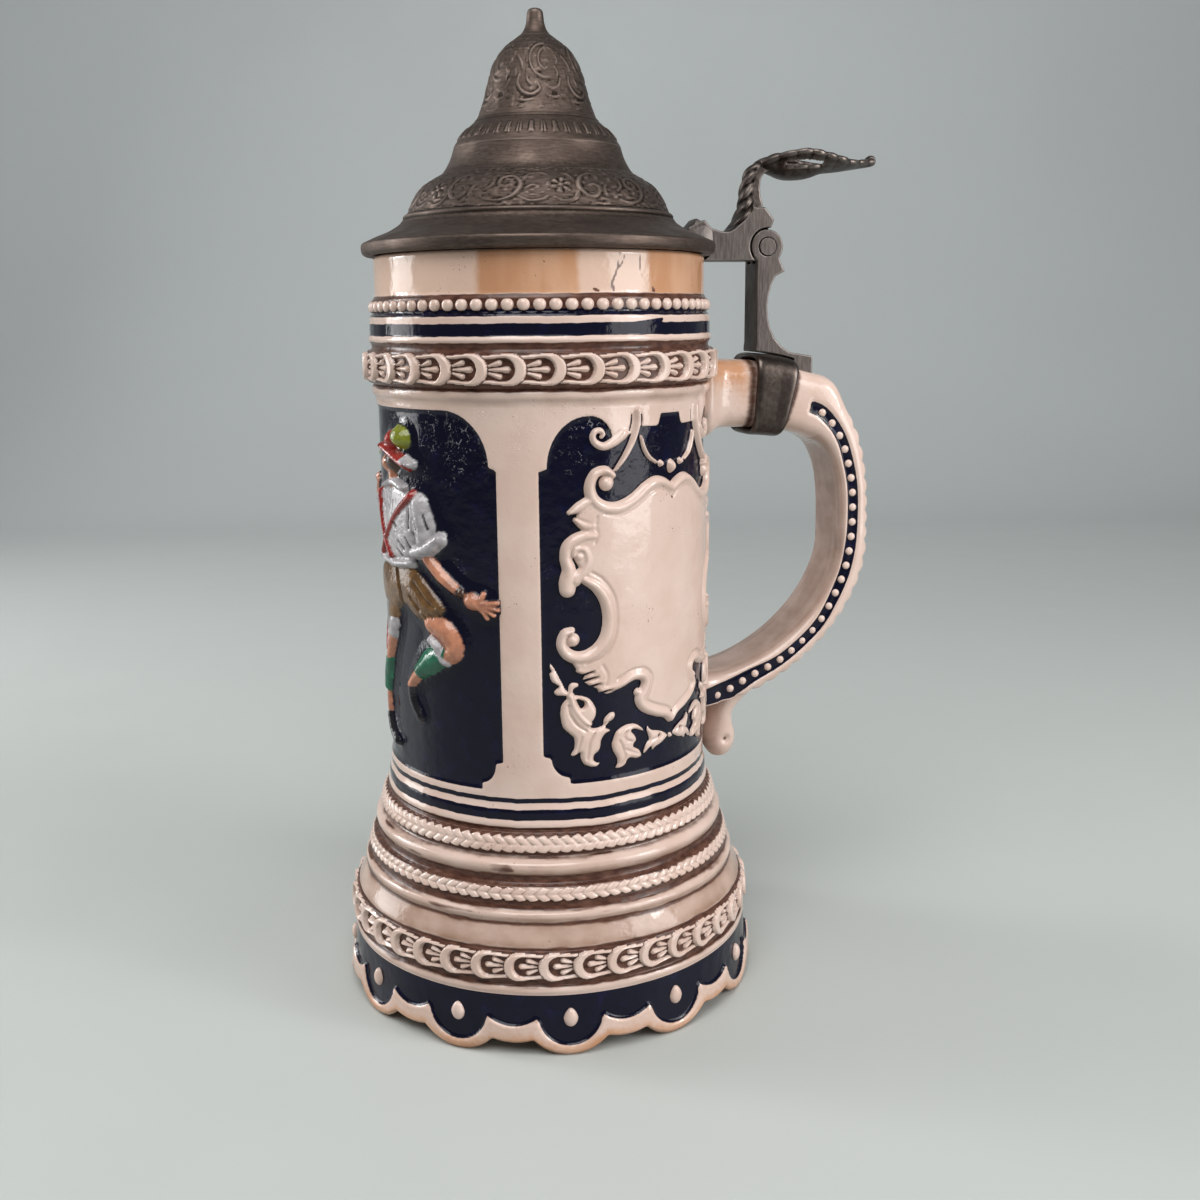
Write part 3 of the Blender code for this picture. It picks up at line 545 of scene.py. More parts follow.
def old_pewter(name, dark, middle, bright, roughness, grain):
    """Dull grey-brown pewter: dark in its hollows, rubbed bright on its edges."""
    p = Paint(name)
    cloudy = p.noise(9, 4)
    fine = p.noise(0.8, 3)
    streaks = p.noise(0.5, 2, grain)
    wear = p.math("MULTIPLY_ADD", p.math("SUBTRACT", fine, 0.5), 0.5, p.field("wear"))
    base = p.mix(p.ramp(cloudy, 0.3, 0.7), middle, tuple(0.68 * c for c in middle))
    base = p.mix(p.ramp(streaks, 0.3, 0.75, 0.0, 0.4), base, bright)
    colour = p.mix(p.ramp(wear, -0.08, -0.55), base, dark)
    rubbed = p.math("MULTIPLY", p.ramp(wear, 0.12, 0.7), p.ramp(p.noise(13, 3), 0.38, 0.62, 0.25, 1.0))
    colour = p.mix(rubbed, colour, bright)
    p.shader.inputs["Metallic"].default_value = 1.0
    matt = p.ramp(cloudy, 0.25, 0.75, roughness - 0.08, roughness + 0.12)
    p.bump(p.math("MULTIPLY_ADD", streaks, 0.5, fine), 0.22, 0.12)
    return p.finish(colour, matt)


# Directions of the fine marks in the pewter
TURNED = (0.2, 0.2, 1.6)
RUBBED = (0.4, 0.4, 0.4)
FILED = (1, 1, 0.12)

STONEWARE = glazed_stoneware()
ENAMEL = painted_relief()
LID_PEWTER = old_pewter("lid_pewter", (0.02, 0.014, 0.011), (0.092, 0.066, 0.054), (0.165, 0.13, 0.112), 0.52, TURNED)
HINGE_PEWTER = old_pewter("hinge_pewter", (0.022, 0.018, 0.016), (0.10, 0.082, 0.074), (0.20, 0.175, 0.162), 0.42, FILED)
COLLAR_PEWTER = old_pewter("collar_pewter", (0.02, 0.016, 0.013), (0.062, 0.048, 0.041), (0.12, 0.098, 0.087), 0.36, RUBBED)
LIFT_PEWTER = old_pewter("lift_pewter", (0.012, 0.010, 0.009), (0.052, 0.041, 0.036), (0.15, 0.125, 0.112), 0.42, RUBBED)


# Mug: neck, barrel and base, which meet in the stained grooves

COLUMNS = 480
NECK_SEAM = 155.4
BASE_SEAM = 52.0
BORE = 36.3
FLOOR = 50.0
BARREL = 41.2
LOBES = 12
LOBE_TURN = math.radians(-97.8)  # of one large lobe of the foot, from the handle


def even_profile(points, spacing):
    """A profile with points added until none are further apart than the spacing."""
    out = [points[0]]
    for one, two in zip(points, points[1:]):
        count = max(1, math.ceil(math.dist(one, two) / spacing))
        for k in range(1, count + 1):
            out.append(tuple(a + (b - a) * k / count for a, b in zip(one, two)))
    return np.array(out)


def stripe(height, low, high):
    """Distance inside a painted stripe between two heights."""
    return np.minimum(height - low, high - height)


def wobble(columns, seed, amount):
    """How far a painter's hand strays up and down round the mug."""
    slow = soft_noise(1, columns, 1, 26, seed)[0] - 0.5
    quick = soft_noise(1, columns, 1, 150, seed + 50)[0] - 0.5
    return (slow + 0.7 * quick) * amount


# Old cracks in the lustre, as (across, up, half width) from a turn on the near side
CRACK_TURN = math.radians(-78.0)
CRACKS = (
    [(1.0, 184.8, 0.05), (0.6, 182.6, 0.08), (0.1, 180.6, 0.16), (-0.9, 178.4, 0.2), (-0.6, 176.8, 0.3)],
    [(0.6, 181.4, 0.08), (1.6, 182.6, 0.1), (2.2, 184.2, 0.05)],
    [(6.6, 184.8, 0.05), (6.3, 182.4, 0.08), (6.8, 180.0, 0.05)],
    [(-5.4, 177.0, 0.2), (-4.4, 176.6, 0.25)],
    [(10.2, 177.2, 0.25), (10.4, 176.6, 0.3)],
)

# Where the brush left the blue stripe: ends, as (across from the crack, up, half height)
BRUSH_LIFT = np.array([(-1.0, 168.7, 0.6), (5.0, 169.3, 0.7), (11.6, 170.3, 0.42)])
# Turns, in degrees from the handle, between which the lustre is painted pale: partly a paler patch of the glaze itself,
# partly a painted highlight where the lamps reflect off the rim
PALE_AND_HIGHLIGHT_TURNS = ((-188, -121), (-92, -64), (30, 62))


def mug_neck():
    outer = smooth_line(
        [(41.7, NECK_SEAM), (42.2, 156.3), (42.5, 157.2), (42.5, 162.4), (42.2, 163.3), (41.75, 164.3), (42.0, 165.2)], 4
    )
    outer = np.vstack([outer, smooth_line([(42.3, 165.5), (42.55, 166.1), (42.3, 166.8), (42.1, 167.2)], 4)])
    rest = [(42.1, 167.3), (42.1, 171.0), (41.9, 171.5), (41.3, 172.2), (41.3, 175.2), (40.8, 175.9), (40.6, 176.6), (40.6, RIM - 1.1)]
    outer = np.vstack([outer, even_profile(rest, 0.4)])
    rim = [(40.6 - 1.1 * (1 - math.cos(a)), RIM - 1.1 + 1.1 * math.sin(a)) for a in np.linspace(0.2, math.pi / 2, 6)]
    lip = [(BORE + 1.1 - 1.1 * math.sin(a), RIM - 1.1 + 1.1 * math.cos(a)) for a in np.linspace(0, math.pi / 2, 6)]
    inner = even_profile([lip[-1], (BORE, NECK_SEAM)], 6)[1:]
    profile = np.vstack([outer, rim, lip, inner])
    rows = len(profile)
    height = np.repeat(profile[:, 1:], COLUMNS, 1)
    radius = np.repeat(profile[:, :1], COLUMNS, 1)
    outside = np.arange(rows)[:, None] < len(outer) + len(rim)
    painted = height + wobble(COLUMNS, SEED, 0.22)
    turn = np.arange(COLUMNS) * math.tau / COLUMNS
    across = ((turn - CRACK_TURN + math.pi) % math.tau - math.pi) * 40.6 + 0 * height
    blue = np.maximum(stripe(painted, 171.3, 172.9), stripe(painted, 166.95, 169.75))
    blue = np.maximum(blue, -outside_line(across, height, BRUSH_LIFT)[0])
    tan = stripe(painted, 176.2, RIM - 0.2)
    stain_and_shade = 0.95 * step_up(stripe(painted, 163.0, 165.6), -0.3, 0.3) + 0.95 * step_up(-painted, -157.0, -156.0)
    stain_and_shade += 1.0 * step_up(stripe(painted, 172.5, 176.2), -0.3, 0.4)
    stain_and_shade += 0.9 * step_up(stripe(painted, 157, 163), -0.2, 0.2)
    hide = np.where(outside, 0.0, -9.0)
    crack = np.zeros(radius.shape)
    for line in CRACKS:
        gap, _ = outside_line(across, height, smooth_line(line, 5) if len(line) > 2 else line)
        crack = np.maximum(crack, step_up(-gap, -0.35, 0.1))
    # Pale lustre in the listed turns: partly the glaze's own paler patches, partly a painted highlight
    pale = np.zeros(radius.shape)
    for first, last in PALE_AND_HIGHLIGHT_TURNS:
        past = (np.degrees(turn) - first) % 360
        pale = np.maximum(pale, step_up(np.minimum(past, last - first - past), -3.0, 5.0)[None, :])
    fields = {"blue": as_paint_edge(blue + hide), "tan": as_paint_edge(tan + hide), "stain_and_shade": np.where(outside, stain_and_shade, 0)}
    fields["crack"] = np.where(outside, crack, 0)
    fields["pale"] = np.where(outside, pale, 0)
    mesh = turned_mesh("mug_neck", radius, height, fields, ring=True)
    return finished("mug_neck", mesh, STONEWARE, "mug")


def panel_outline(half, low, high, foot, shoulder, dome, step):
    """A framed panel: stepped hollow lower corners and stepped domed shoulders."""
    corner = [(half - foot, low), (half - foot, low + 1.6)]
    corner += [
        (half - foot + (foot - step) * math.sin(a), low + 1.7 + 4.8 * (1 - math.cos(a)))
        for a in np.linspace(0.1, math.pi / 2, 9)
    ]
    corner += [(half, low + 7.0), (half, shoulder), (half - step, shoulder + 0.7)]
    rise = high - shoulder - 0.7
    corner += [
        (half - step - dome * (1 - math.cos(a)), shoulder + 0.7 + rise * math.sin(a))
        for a in np.linspace(0.12, math.pi / 2, 12)
    ]
    right = np.array(corner)
    return np.vstack([right, (right * (-1, 1))[::-1]])


# Middle turn, half width, bottom, top, sizes of the corners and of their steps, of each blue panel
SIDE_TURN = math.radians(55.9)
FRONT_TURN = math.pi
SIDE_PANEL = panel_outline(34.6, 63.0, 149.3, 6.3, 137.0, 9.5, 1.9)
FRONT_PANEL = panel_outline(45.0, 61.3, 150.6, 5.4, 137.3, 11.5, 1.8)


def mug_barrel():
    columns, spacing = 512, 0.62
    outer = smooth_line([(41.7, NECK_SEAM), (42.05, 154.8), (42.25, 154.2), (42.1, 153.4), (41.5, 152.6)], 3)
    outer = np.vstack([outer, even_profile([(BARREL + 0.05, 151.8), (BARREL, 60.4)], spacing)])
    ridges = [(41.25, 59.8), (41.2, 58.4), (41.5, 57.4), (41.85, 56.0), (41.8, 54.6), (42.15, 53.7), (42.2, 52.9)]
    outer = np.vstack([outer, smooth_line(ridges + [(41.8, BASE_SEAM)], 3)])
    inner = np.array([(BORE, 55.5), (BORE, 90.0), (BORE, 125.0), (BORE, NECK_SEAM)])
    profile = np.vstack([outer, inner])
    rows = len(profile)
    turn = np.arange(columns) * math.tau / columns
    height = np.repeat(profile[:, 1:], columns, 1)
    radius = np.repeat(profile[:, :1], columns, 1)
    blue = np.full(radius.shape, -9.0)
    panels = ((-SIDE_TURN, SIDE_PANEL), (SIDE_TURN, SIDE_PANEL), (FRONT_TURN, FRONT_PANEL))
    for middle, outline in panels:
        across = ((turn - middle + math.pi) % math.tau - math.pi) * BARREL + 0 * height
        near = (np.abs(across) < outline[:, 0].max() + 3) & (np.arange(rows)[:, None] < len(outer))
        blue[near] = inside_outline(across[near], height[near], outline)
    recess = 0.45 * step_up(blue, -0.35, 0.75)
    painted = height + wobble(columns, SEED + 1, 0.35)
    outside = np.arange(rows)[:, None] < len(outer)
    blue = np.maximum(blue, stripe(painted, 58.5, 59.7))
    blue = np.maximum(blue, stripe(painted, 54.4, 57.0))
    patches = soft_noise(rows, columns, 30, 40, SEED + 2)
    stain_and_shade = 1.0 * step_up(painted, 154.3, 155.2) + step_up(-painted, -53.1, -52.4)
    stain_and_shade += (0.04 + 0.16 * patches) * step_up(stripe(painted, 150.6, 153.4), -0.2, 1.2)
    fields = {"blue": as_paint_edge(np.where(outside, blue, -9)), "stain_and_shade": np.where(outside, stain_and_shade, 0)}
    fields["scratched"] = step_up(height, 95, 122) * step_up(soft_noise(rows, columns, 7, 14, SEED + 8), 0.35, 0.7)
    fields["wash"] = 0.55 * step_up(stripe(painted, 151.4, 154.2), -0.2, 0.9) * soft_noise(rows, columns, 40, 34, SEED + 9)
    mesh = turned_mesh("mug_barrel", radius - recess, height, fields, ring=True)
    return finished("mug_barrel", mesh, STONEWARE, "mug", ["mug_body"])


# Foot: distances along the edge are unrolled at its own radius
FOOT_RADIUS = 53.6
LOBE_PITCH = math.tau * FOOT_RADIUS / LOBES


def lobe_edge(across, big_half, big_low, cusp, small_low):
    """Height of a scalloped edge: round large lobes, and shallow small ones between their cusps."""
    away = np.abs((across + LOBE_PITCH / 2) % LOBE_PITCH - LOBE_PITCH / 2)
    drop = cusp - big_low
    round_radius = (big_half**2 + drop**2) / (2 * drop)
    big = big_low + round_radius - np.sqrt(np.maximum(round_radius**2 - away**2, 0))
    small_half = LOBE_PITCH / 2 - big_half
    beyond = np.clip((LOBE_PITCH / 2 - away) / small_half, 0, 1)
    small = small_low + (cusp - small_low) * beyond**2
    return np.where(away < big_half, big, small)


def foot_fields(across, height):
    """Stand-out of the tan border, and distance inside the blue field, on the foot."""
    bottom = lobe_edge(across, 9.0, 0.0, 3.9, 3.1)
    blue_low = lobe_edge(across, 7.75, 2.5, 9.6, 7.4)
    slope = np.abs(np.gradient(blue_low, across[0, 1] - across[0, 0], axis=1))
    inside = (height - blue_low) / np.sqrt(1 + np.minimum(slope, 2.5) ** 2)
    border = 1.0 * step_up(-inside, -0.5, 0.35)
    return border, inside, bottom


def mug_base():
    inside = [(0, FLOOR), (12, FLOOR), (BORE - 5, FLOOR)]
    inside += [(BORE - 5 + 5 * math.sin(a), FLOOR + 5 - 5 * math.cos(a)) for a in np.linspace(0.2, math.pi / 2, 7)]
    inside += [(BORE, 55.5)]
    rope_1, rope_2 = base_radius(49.0), base_radius(38.0)
    outer = [(41.8, BASE_SEAM), (42.1, 51.3), (rope_1 + 0.3, 50.6), (rope_1 + 0.5, 47.6), (43.4, 46.8), (43.5, 46.0)]
    outer += [(44.3, 45.5), (45.5, 44.8), (45.85, 43.9), (45.7, 42.7), (45.2, 41.9), (45.1, 41.0)]
    outer += [(45.5, 40.0), (rope_2 + 0.2, 39.4), (rope_2 + 0.4, 36.8), (47.2, 36.0), (47.3, 35.2), (47.7, 34.3)]
    outer += [(48.6, 33.8), (48.95, 33.0), (48.8, 32.1), (48.6, 31.4), (48.8, 30.8), (49.5, 29.6), (50.3, 28.0)]
    outer += [(51.0, 26.6), (51.1, 25.8), (51.2, 25.1), (51.5, 24.4), (51.8, 19.0), (51.6, 18.2), (51.6, 17.3)]
    outer += [(52.1, 16.9), (52.45, 16.3), (52.5, 15.7), (52.3, 15.1)]
    upper = np.vstack([inside, smooth_line(outer, 3)])
    rows_down = 40
    wall, ceiling = 3.8, 44.8
    turn = np.arange(COLUMNS) * math.tau / COLUMNS
    across = np.repeat(((turn - LOBE_TURN) * FOOT_RADIUS)[None, :], rows_down, 0)
    share = np.linspace(0.02, 1, rows_down)[:, None]
    edge = lobe_edge(across[:1], 9.0, 0.0, 3.9, 3.1)
    foot_height = 15.1 - (15.1 - edge) * share
    border, blue, _ = foot_fields(across, foot_height)
    roll = 0.9 * step_up(share, 0.9, 1.0) ** 2
    foot_radius = 52.35 + 0.95 * share + border * step_up(share, 0.0, 0.25) - roll
    under = np.array([(52.6, 0), (51.4, -0.05), (50.2, 0.2), (49.8, 2), (49.6, 9), (49.2, 15), (47.2, 25.8), (42.2, 39.8)])
    under = np.vstack([under, [(37.2, ceiling), (18, ceiling), (0, ceiling)]])
    lift = edge * np.clip(1 - under[:, 1:] / 15.1, 0, 1)
    radius = np.vstack([np.repeat(upper[:, :1], COLUMNS, 1), foot_radius, np.repeat(under[:, :1], COLUMNS, 1)])
    height = np.vstack([np.repeat(upper[:, 1:], COLUMNS, 1), foot_height, np.repeat(under[:, 1:], COLUMNS, 1) + lift])
    rows = len(radius)
    place = np.arange(rows)[:, None]
    outside = (place >= len(inside)) & (place < len(upper))
    painted = height + wobble(COLUMNS, SEED + 3, 0.2)
    patches = soft_noise(rows, COLUMNS, 60, 50, SEED + 4)
    stain_and_shade = np.zeros(radius.shape)
    for low, high, depth in ((50.6, 53, 1), (46.2, 47.4, 0.9), (45.6, 46.2, 0.6), (39.6, 41.9, 1), (34.4, 36.6, 1)):
        stain_and_shade = np.maximum(stain_and_shade, depth * step_up(stripe(painted, low, high), -0.75, 0.45))
    for low, high, depth in ((30.8, 31.6, 0.8), (18.6, 26.2, 1), (16.9, 18.7, 0.95)):
        stain_and_shade = np.maximum(stain_and_shade, depth * step_up(stripe(painted, low, high), -0.6, 0.4))
    stain_and_shade += 0.3 * step_up(patches, 0.55, 0.95) * step_up(stripe(painted, 15, 46), -0.2, 1.0)
    stain_and_shade = np.where(outside, stain_and_shade, 0)
    middle = step_up(stripe(painted, 26.2, 31.6), 0.2, 2.3)
    wash = step_up(stripe(painted, 26.2, 31.6), -0.3, 0.5) * (1 - 0.35 * middle)
    for low, high in ((41.6, 43.6), (31.2, 32.8), (52.0, 53.4)):
        wash = np.maximum(wash, 0.8 * step_up(stripe(painted, low, high), -0.9, 0.7))
    wash = np.maximum(wash, 0.4 * patches * step_up(-painted, -46, -44))
    wash = np.where(outside, wash, 0)
    blue_field = np.full(radius.shape, -9.0)
    tan_field = np.full(radius.shape, -9.0)
    blue_field[len(upper) : len(upper) + rows_down] = np.minimum(blue, 15.2 - foot_height)
    low_edge = step_up(share, 0.72, 1.0) * (0.4 + 0.8 * soft_noise(rows_down, COLUMNS, 3, 40, SEED + 11))
    tan_field[len(upper) : len(upper) + rows_down] = -0.11 + 0.24 * np.clip(low_edge + 0.18, 0, 1)
    tan_field[len(upper) + rows_down : len(upper) + rows_down + 3] = 0.12
    drips = step_up(soft_noise(rows, COLUMNS, 50, 34, SEED + 10), 0.74, 0.9) * step_up(stripe(painted, 31, 47), -0.2, 1.0)
    fields = {"blue": as_paint_edge(blue_field), "tan": as_paint_edge(tan_field), "stain_and_shade": stain_and_shade + 0.5 * drips, "wash": wash}
    fields["stain_and_shade"] = np.where(outside, fields["stain_and_shade"], 0)
    mesh = turned_mesh("mug_base", radius, height, fields)
    return finished("mug_base", mesh, STONEWARE, "mug")


def base_radius(height):
    """Radius of the flared base between its mouldings."""
    return BARREL + 9.8 * min(max((56.0 - height) / 30.2, 0), 1) ** 1.15


# Bands of the mug


def cell_mesh(name, across, up, stand_out, radius, lean=0.0, back=1.2, fields=()):
    """One closed cell of a ring: a relief in front, a plain back, open at both ends to its neighbours."""
    front = radius + lean * (up - up.mean()) + stand_out
    rear = (radius + lean * (up - up.mean()) - back)[[-1, 0]]
    rows = np.vstack([front, rear])
    turns = np.vstack([across, across[[-1, 0]]]) / radius
    heights = np.vstack([up, up[[-1, 0]]])
    points = np.stack([rows * np.cos(turns), rows * np.sin(turns), heights], -1).reshape(-1, 3)
    faces = grid_faces(*rows.shape, closed_rows=True)
    padded = {key: np.vstack([field, 0 * field[:2]]) for key, field in dict(fields).items()}
    return new_mesh(name, points, [faces], padded)


def chain_cell(name, radius, height, count, flip, size, lean):
    """One link of a chain of overlapping flat loops, with a palmette of three drops in it."""
    pitch = math.tau * radius / count
    half, thick, arm, petal = size
    columns, rows = 40, 34
    u, v = np.meshgrid(np.linspace(0, pitch, columns), np.linspace(-half - 0.35, half + 0.35, rows))
    relief = np.zeros(u.shape)
    cream = np.zeros(u.shape)
    for k in (1, 0, -1):
        along = u - k * pitch
        outer = loop_inside(along, v, pitch, half, 1.05)
        hole = loop_inside(along, v, pitch - thick, half - arm, 0.95)
        band = np.minimum(outer, -hole)
        level = 0.7 + 0.7 * step_up(along, 0.0, pitch * 0.9)
        link = level * step_up(band, -0.02, 0.3)
        shown = step_up(band, -0.14, 0.1)
        for tip_u, tip_v, width in ((petal, 0.0, 0.72), (petal * 0.58, 1.5, 0.68), (petal * 0.58, -1.5, 0.68)):
            line = np.array([(0.0, tip_v * 0.5, 0.26), (tip_u, tip_v, width)])
            gap, _ = outside_line(along, v, line)
            link = np.maximum(link, 0.8 * step_up(-gap, -0.04, 0.5))
            shown = np.maximum(shown, step_up(-gap, -0.06, 0.12))
        covers = (outer > 0) & (along > -thick * 0.8)
        # Painted shadow: the link underneath loses its cream and turns brown just outside the round end of the link
        # lying over it
        cream = cream * np.where(along > pitch * 0.5, step_up(-outer, 0.02, 0.36), 1)
        relief = np.where(covers, link, relief)
        cream = np.where(covers, shown, cream)
    edge = step_up(half + 0.35 - np.abs(v), 0.0, 0.3)
    stain_and_shade = 1 - cream
    if flip:
        relief, stain_and_shade = relief[:, ::-1], stain_and_shade[:, ::-1]
    return cell_mesh(name, u, v + height, relief * edge - 0.25 * (1 - edge), radius, lean, 1.0, {"stain_and_shade": stain_and_shade})


def loop_inside(along, v, end, half, roundness):
    """Distance inside a loop that ends in a round on the right and narrows towards the left."""
    tall = half * (0.88 + 0.12 * step_up(along, -1.0, end * 0.6))
    nose = half * roundness
    past = np.maximum(along - end + nose, 0) / nose
    return tall * (1 - np.hypot(past, v / tall))


def plait_cell(name, radius, height, half, count, lean, apex, seam_stain):
    """One stitch of a plait: two strands that meet in a point, to the right if apex is 1 and to the left if -1."""
    pitch = math.tau * radius / count
    u, v = np.meshgrid(np.linspace(0, pitch, 13), np.linspace(-half, half, 19))
    slant = (apex * u / pitch + 1.1 * np.abs(v) / pitch) % 1.0
    strand = 1 - np.abs(2 * slant - 1) ** 3
    reach = half - 0.12 - 0.5 * (1 - slant) ** 1.5
    tip = step_up(reach - np.abs(v), -0.05, 0.3)
    dome = np.maximum(1 - (v / half) ** 4, 0) ** 0.6
    seam = 0.2 * np.exp(-((v / 0.25) ** 2))
    relief = tip * dome * (0.6 + 0.42 * strand - seam)
    stain_and_shade = seam_stain * (1 - strand) ** 1.5 + 0.2 * seam + 0.95 * (1 - tip)
    return cell_mesh(name, u, v + height, relief, radius, lean, 0.8, {"stain_and_shade": stain_and_shade})


def bead_cell(radius, height, size):
    """One round bead, set on the neck."""
    shape = bmesh.new()
    bmesh.ops.create_uvsphere(shape, u_segments=14, v_segments=9, radius=1)
    bmesh.ops.scale(shape, verts=shape.verts, vec=size)
    bmesh.ops.translate(shape, verts=shape.verts, vec=(radius, 0, height))
    mesh = bpy.data.meshes.new("bead")
    shape.to_mesh(mesh)
    shape.free()
    mesh.transform(Matrix.Scale(MM, 4))
    # Painted shade: the bead's top and bottom, where it curves down into the ground, are browned
    stain_and_shade = np.array([step_up(abs(v.co.z / MM - height), 0.8, 1.5) * 0.8 for v in mesh.vertices])
    attribute = mesh.attributes.new("stain_and_shade", "FLOAT", "POINT")
    attribute.data.foreach_set("value", stain_and_shade.astype(np.float32))
    return mesh


def mug_bands():
    rings = (
        ("bead_row", bead_cell(41.25, 173.75, (1.05, 1.5, 1.4)), 73, math.radians(0.9)),
        ("upper_chain", chain_cell("link", 42.9, 159.75, 31, False, (3.5, 2.6, 0.92, 4.5), 0.0), 31, math.radians(-2.2)),
        ("lower_chain", chain_cell("link", 51.75, 22.0, 40, True, (3.4, 2.3, 0.95, 3.95), -0.05), 40, math.radians(2.0)),
        ("upper_plait", plait_cell("stitch", 43.15, 49.1, 2.25, 100, -0.3, 1, 0.3), 100, 0.0),
        ("lower_plait", plait_cell("stitch", 46.5, 38.0, 1.95, 104, -0.32, -1, 0.55), 104, 0.0),
        ("foot_drops", foot_drop(), LOBES, LOBE_TURN),
    )
    for name, cell, count, first in rings:
        mesh = tidied(ring_mesh(cell, count, first, STONEWARE))
        finished(name, mesh, STONEWARE, "mug")


def foot_drop():
    """A raised white drop in the middle of each large lobe."""
    shape = bmesh.new()
    bmesh.ops.create_uvsphere(shape, u_segments=20, v_segments=14, radius=1)
    for vert in shape.verts:
        taper = 1 - 0.28 * max(vert.co.z, 0)
        vert.co = (vert.co.x * 1.25, vert.co.y * 1.75 * taper, vert.co.z * 2.35)
    bmesh.ops.translate(shape, verts=shape.verts, vec=(52.75, 0, 9.3))
    mesh = bpy.data.meshes.new("drop")
    shape.to_mesh(mesh)
    shape.free()
    mesh.transform(Matrix.Scale(MM, 4))
    return mesh


# Relief sheets

SUNK = -0.6


class Sheet:
    """Relief drawn on a flat sheet in millimetres, across and up a panel."""

    def __init__(self, half, low, high, step):
        across = np.arange(-half, half + step / 2, step)
        up = np.arange(low, high + step / 2, step)
        self.x, self.z = np.meshgrid(across, up)
        self.height = np.full(self.x.shape, SUNK)
        self.stain_and_shade = np.zeros(self.x.shape)
        self.paint = np.zeros((*self.x.shape, 3))
        self.paint[:] = LINEN

    def near(self, places, margin):
        low, high = places.min(0), places.max(0)
        fits = (self.x > low[0] - margin) & (self.x < high[0] + margin)
        return fits & (self.z > low[1] - margin) & (self.z < high[1] + margin)

    def raise_to(self, area, level, colour):
        """Lifts an area to a level where that is higher, and paints what was lifted."""
        higher = level > self.height[area]
        self.height[area] = np.where(higher, level, self.height[area])
        if colour is not None:
            painted = self.paint[area]
            painted[higher & (level > -0.3)] = colour
            self.paint[area] = painted
        stain_and_shade = self.stain_and_shade[area]
        stain_and_shade[higher & (level > 0)] = 0
        self.stain_and_shade[area] = stain_and_shade

    def stroke(self, points, rise, base=0.0, flat=0.0, colour=None):
        """A rounded ridge along a line of (x, z, half width)."""
        line = smooth_line(points, 7) if len(points) > 2 else np.asarray(points, float)
        area = self.near(line[:, :2], line[:, 2].max() + 1.5)
        away, width = outside_line(self.x[area], self.z[area], line)
        share = np.clip((away / width + 1 - flat) / (1 - flat), 0, 1)
        level = np.where(away < 0, base + rise * (1 - share**2), base - 2.2 * away)
        self.raise_to(area, level, colour)

    def blob(self, x, z, across, up, rise, turn=0.0, base=0.0, colour=None):
        """A rounded oval, turned in degrees."""
        area = self.near(np.array([(x, z)]), max(across, up) + 1.5)
        a = math.radians(turn)
        dx, dz = self.x[area] - x, self.z[area] - z
        share = np.hypot((dx * math.cos(a) + dz * math.sin(a)) / across, (dz * math.cos(a) - dx * math.sin(a)) / up)
        level = np.where(share < 1, base + rise * (1 - share**2), base - 2.2 * (share - 1) * min(across, up))
        self.raise_to(area, level, colour)

    def plate(self, outline, rise, edge, base=0.0, colour=None, smooth=True, crown=0.0):
        """A raised field with a rounded edge and, if it has a crown, a swelling middle."""
        line = smooth_line(outline, 7, closed=True) if smooth else np.asarray(outline, float)
        area = self.near(line, 1.5)
        inside = inside_outline(self.x[area], self.z[area], line)
        swell = crown * (1 - np.exp(-np.maximum(inside, 0) / (edge * 3)))
        round_over = np.sqrt(np.clip(1 - (1 - np.clip(inside / edge, 0, 1)) ** 2, 0, 1))
        level = np.where(inside > 0, base + rise * round_over + swell, base + 2.2 * inside)
        self.raise_to(area, level, colour)

    def dent(self, points, depth, stain_and_shade=0.0):
        """A hollow along a line of (x, z, half width), stained if asked."""
        line = smooth_line(points, 7) if len(points) > 2 else np.asarray(points, float)
        area = self.near(line[:, :2], line[:, 2].max() + 0.5)
        away, width = outside_line(self.x[area], self.z[area], line)
        share = np.clip(away / width + 1, 0, 1)
        self.height[area] -= np.where(self.height[area] > 0, depth * (1 - share**2), 0)
        self.stain_and_shade[area] = np.maximum(self.stain_and_shade[area], stain_and_shade * (1 - share**2) * (away < 0))

    def cut(self, points):
        """A slit along a line of (x, z, half width), down to the ground."""
        line = smooth_line(points, 7) if len(points) > 2 else np.asarray(points, float)
        area = self.near(line[:, :2], line[:, 2].max() + 0.6)
        away, _ = outside_line(self.x[area], self.z[area], line)
        self.height[area] = np.minimum(self.height[area], np.maximum(2.5 * away + 0.2, SUNK))

    def sink_into_glaze(self, rounds, share, colour):
        """Lets the ground swell up softly round what is drawn, as glaze does."""
        soft = np.maximum(self.height, 0)
        for _ in range(rounds):
            wide = np.pad(soft, 1, mode="edge")
            soft = wide[1:-1, :-2] + wide[1:-1, 2:] + wide[:-2, 1:-1] + wide[2:, 1:-1]
            soft = (soft + 4 * wide[1:-1, 1:-1]) / 8
        level = share * soft - 0.15
        swollen = (level > self.height) & (level > -0.07) & (self.height < 0.5)
        self.height = np.where(swollen, level, self.height)
        self.paint[swollen] = colour
        self.stain_and_shade[swollen] = 0

    def mirror(self):
        """Repeats the left half on the right."""
        swap = self.height[:, ::-1] > self.height
        self.stain_and_shade = np.where(swap, self.stain_and_shade[:, ::-1], self.stain_and_shade)
        self.stain_and_shade = np.maximum(self.stain_and_shade, self.stain_and_shade[:, ::-1])
        self.height = np.minimum(self.height, 9)
        self.height = np.where(self.x > 0, self.height[:, ::-1], self.height)
        self.stain_and_shade = np.where(self.x > 0, self.stain_and_shade[:, ::-1], self.stain_and_shade)

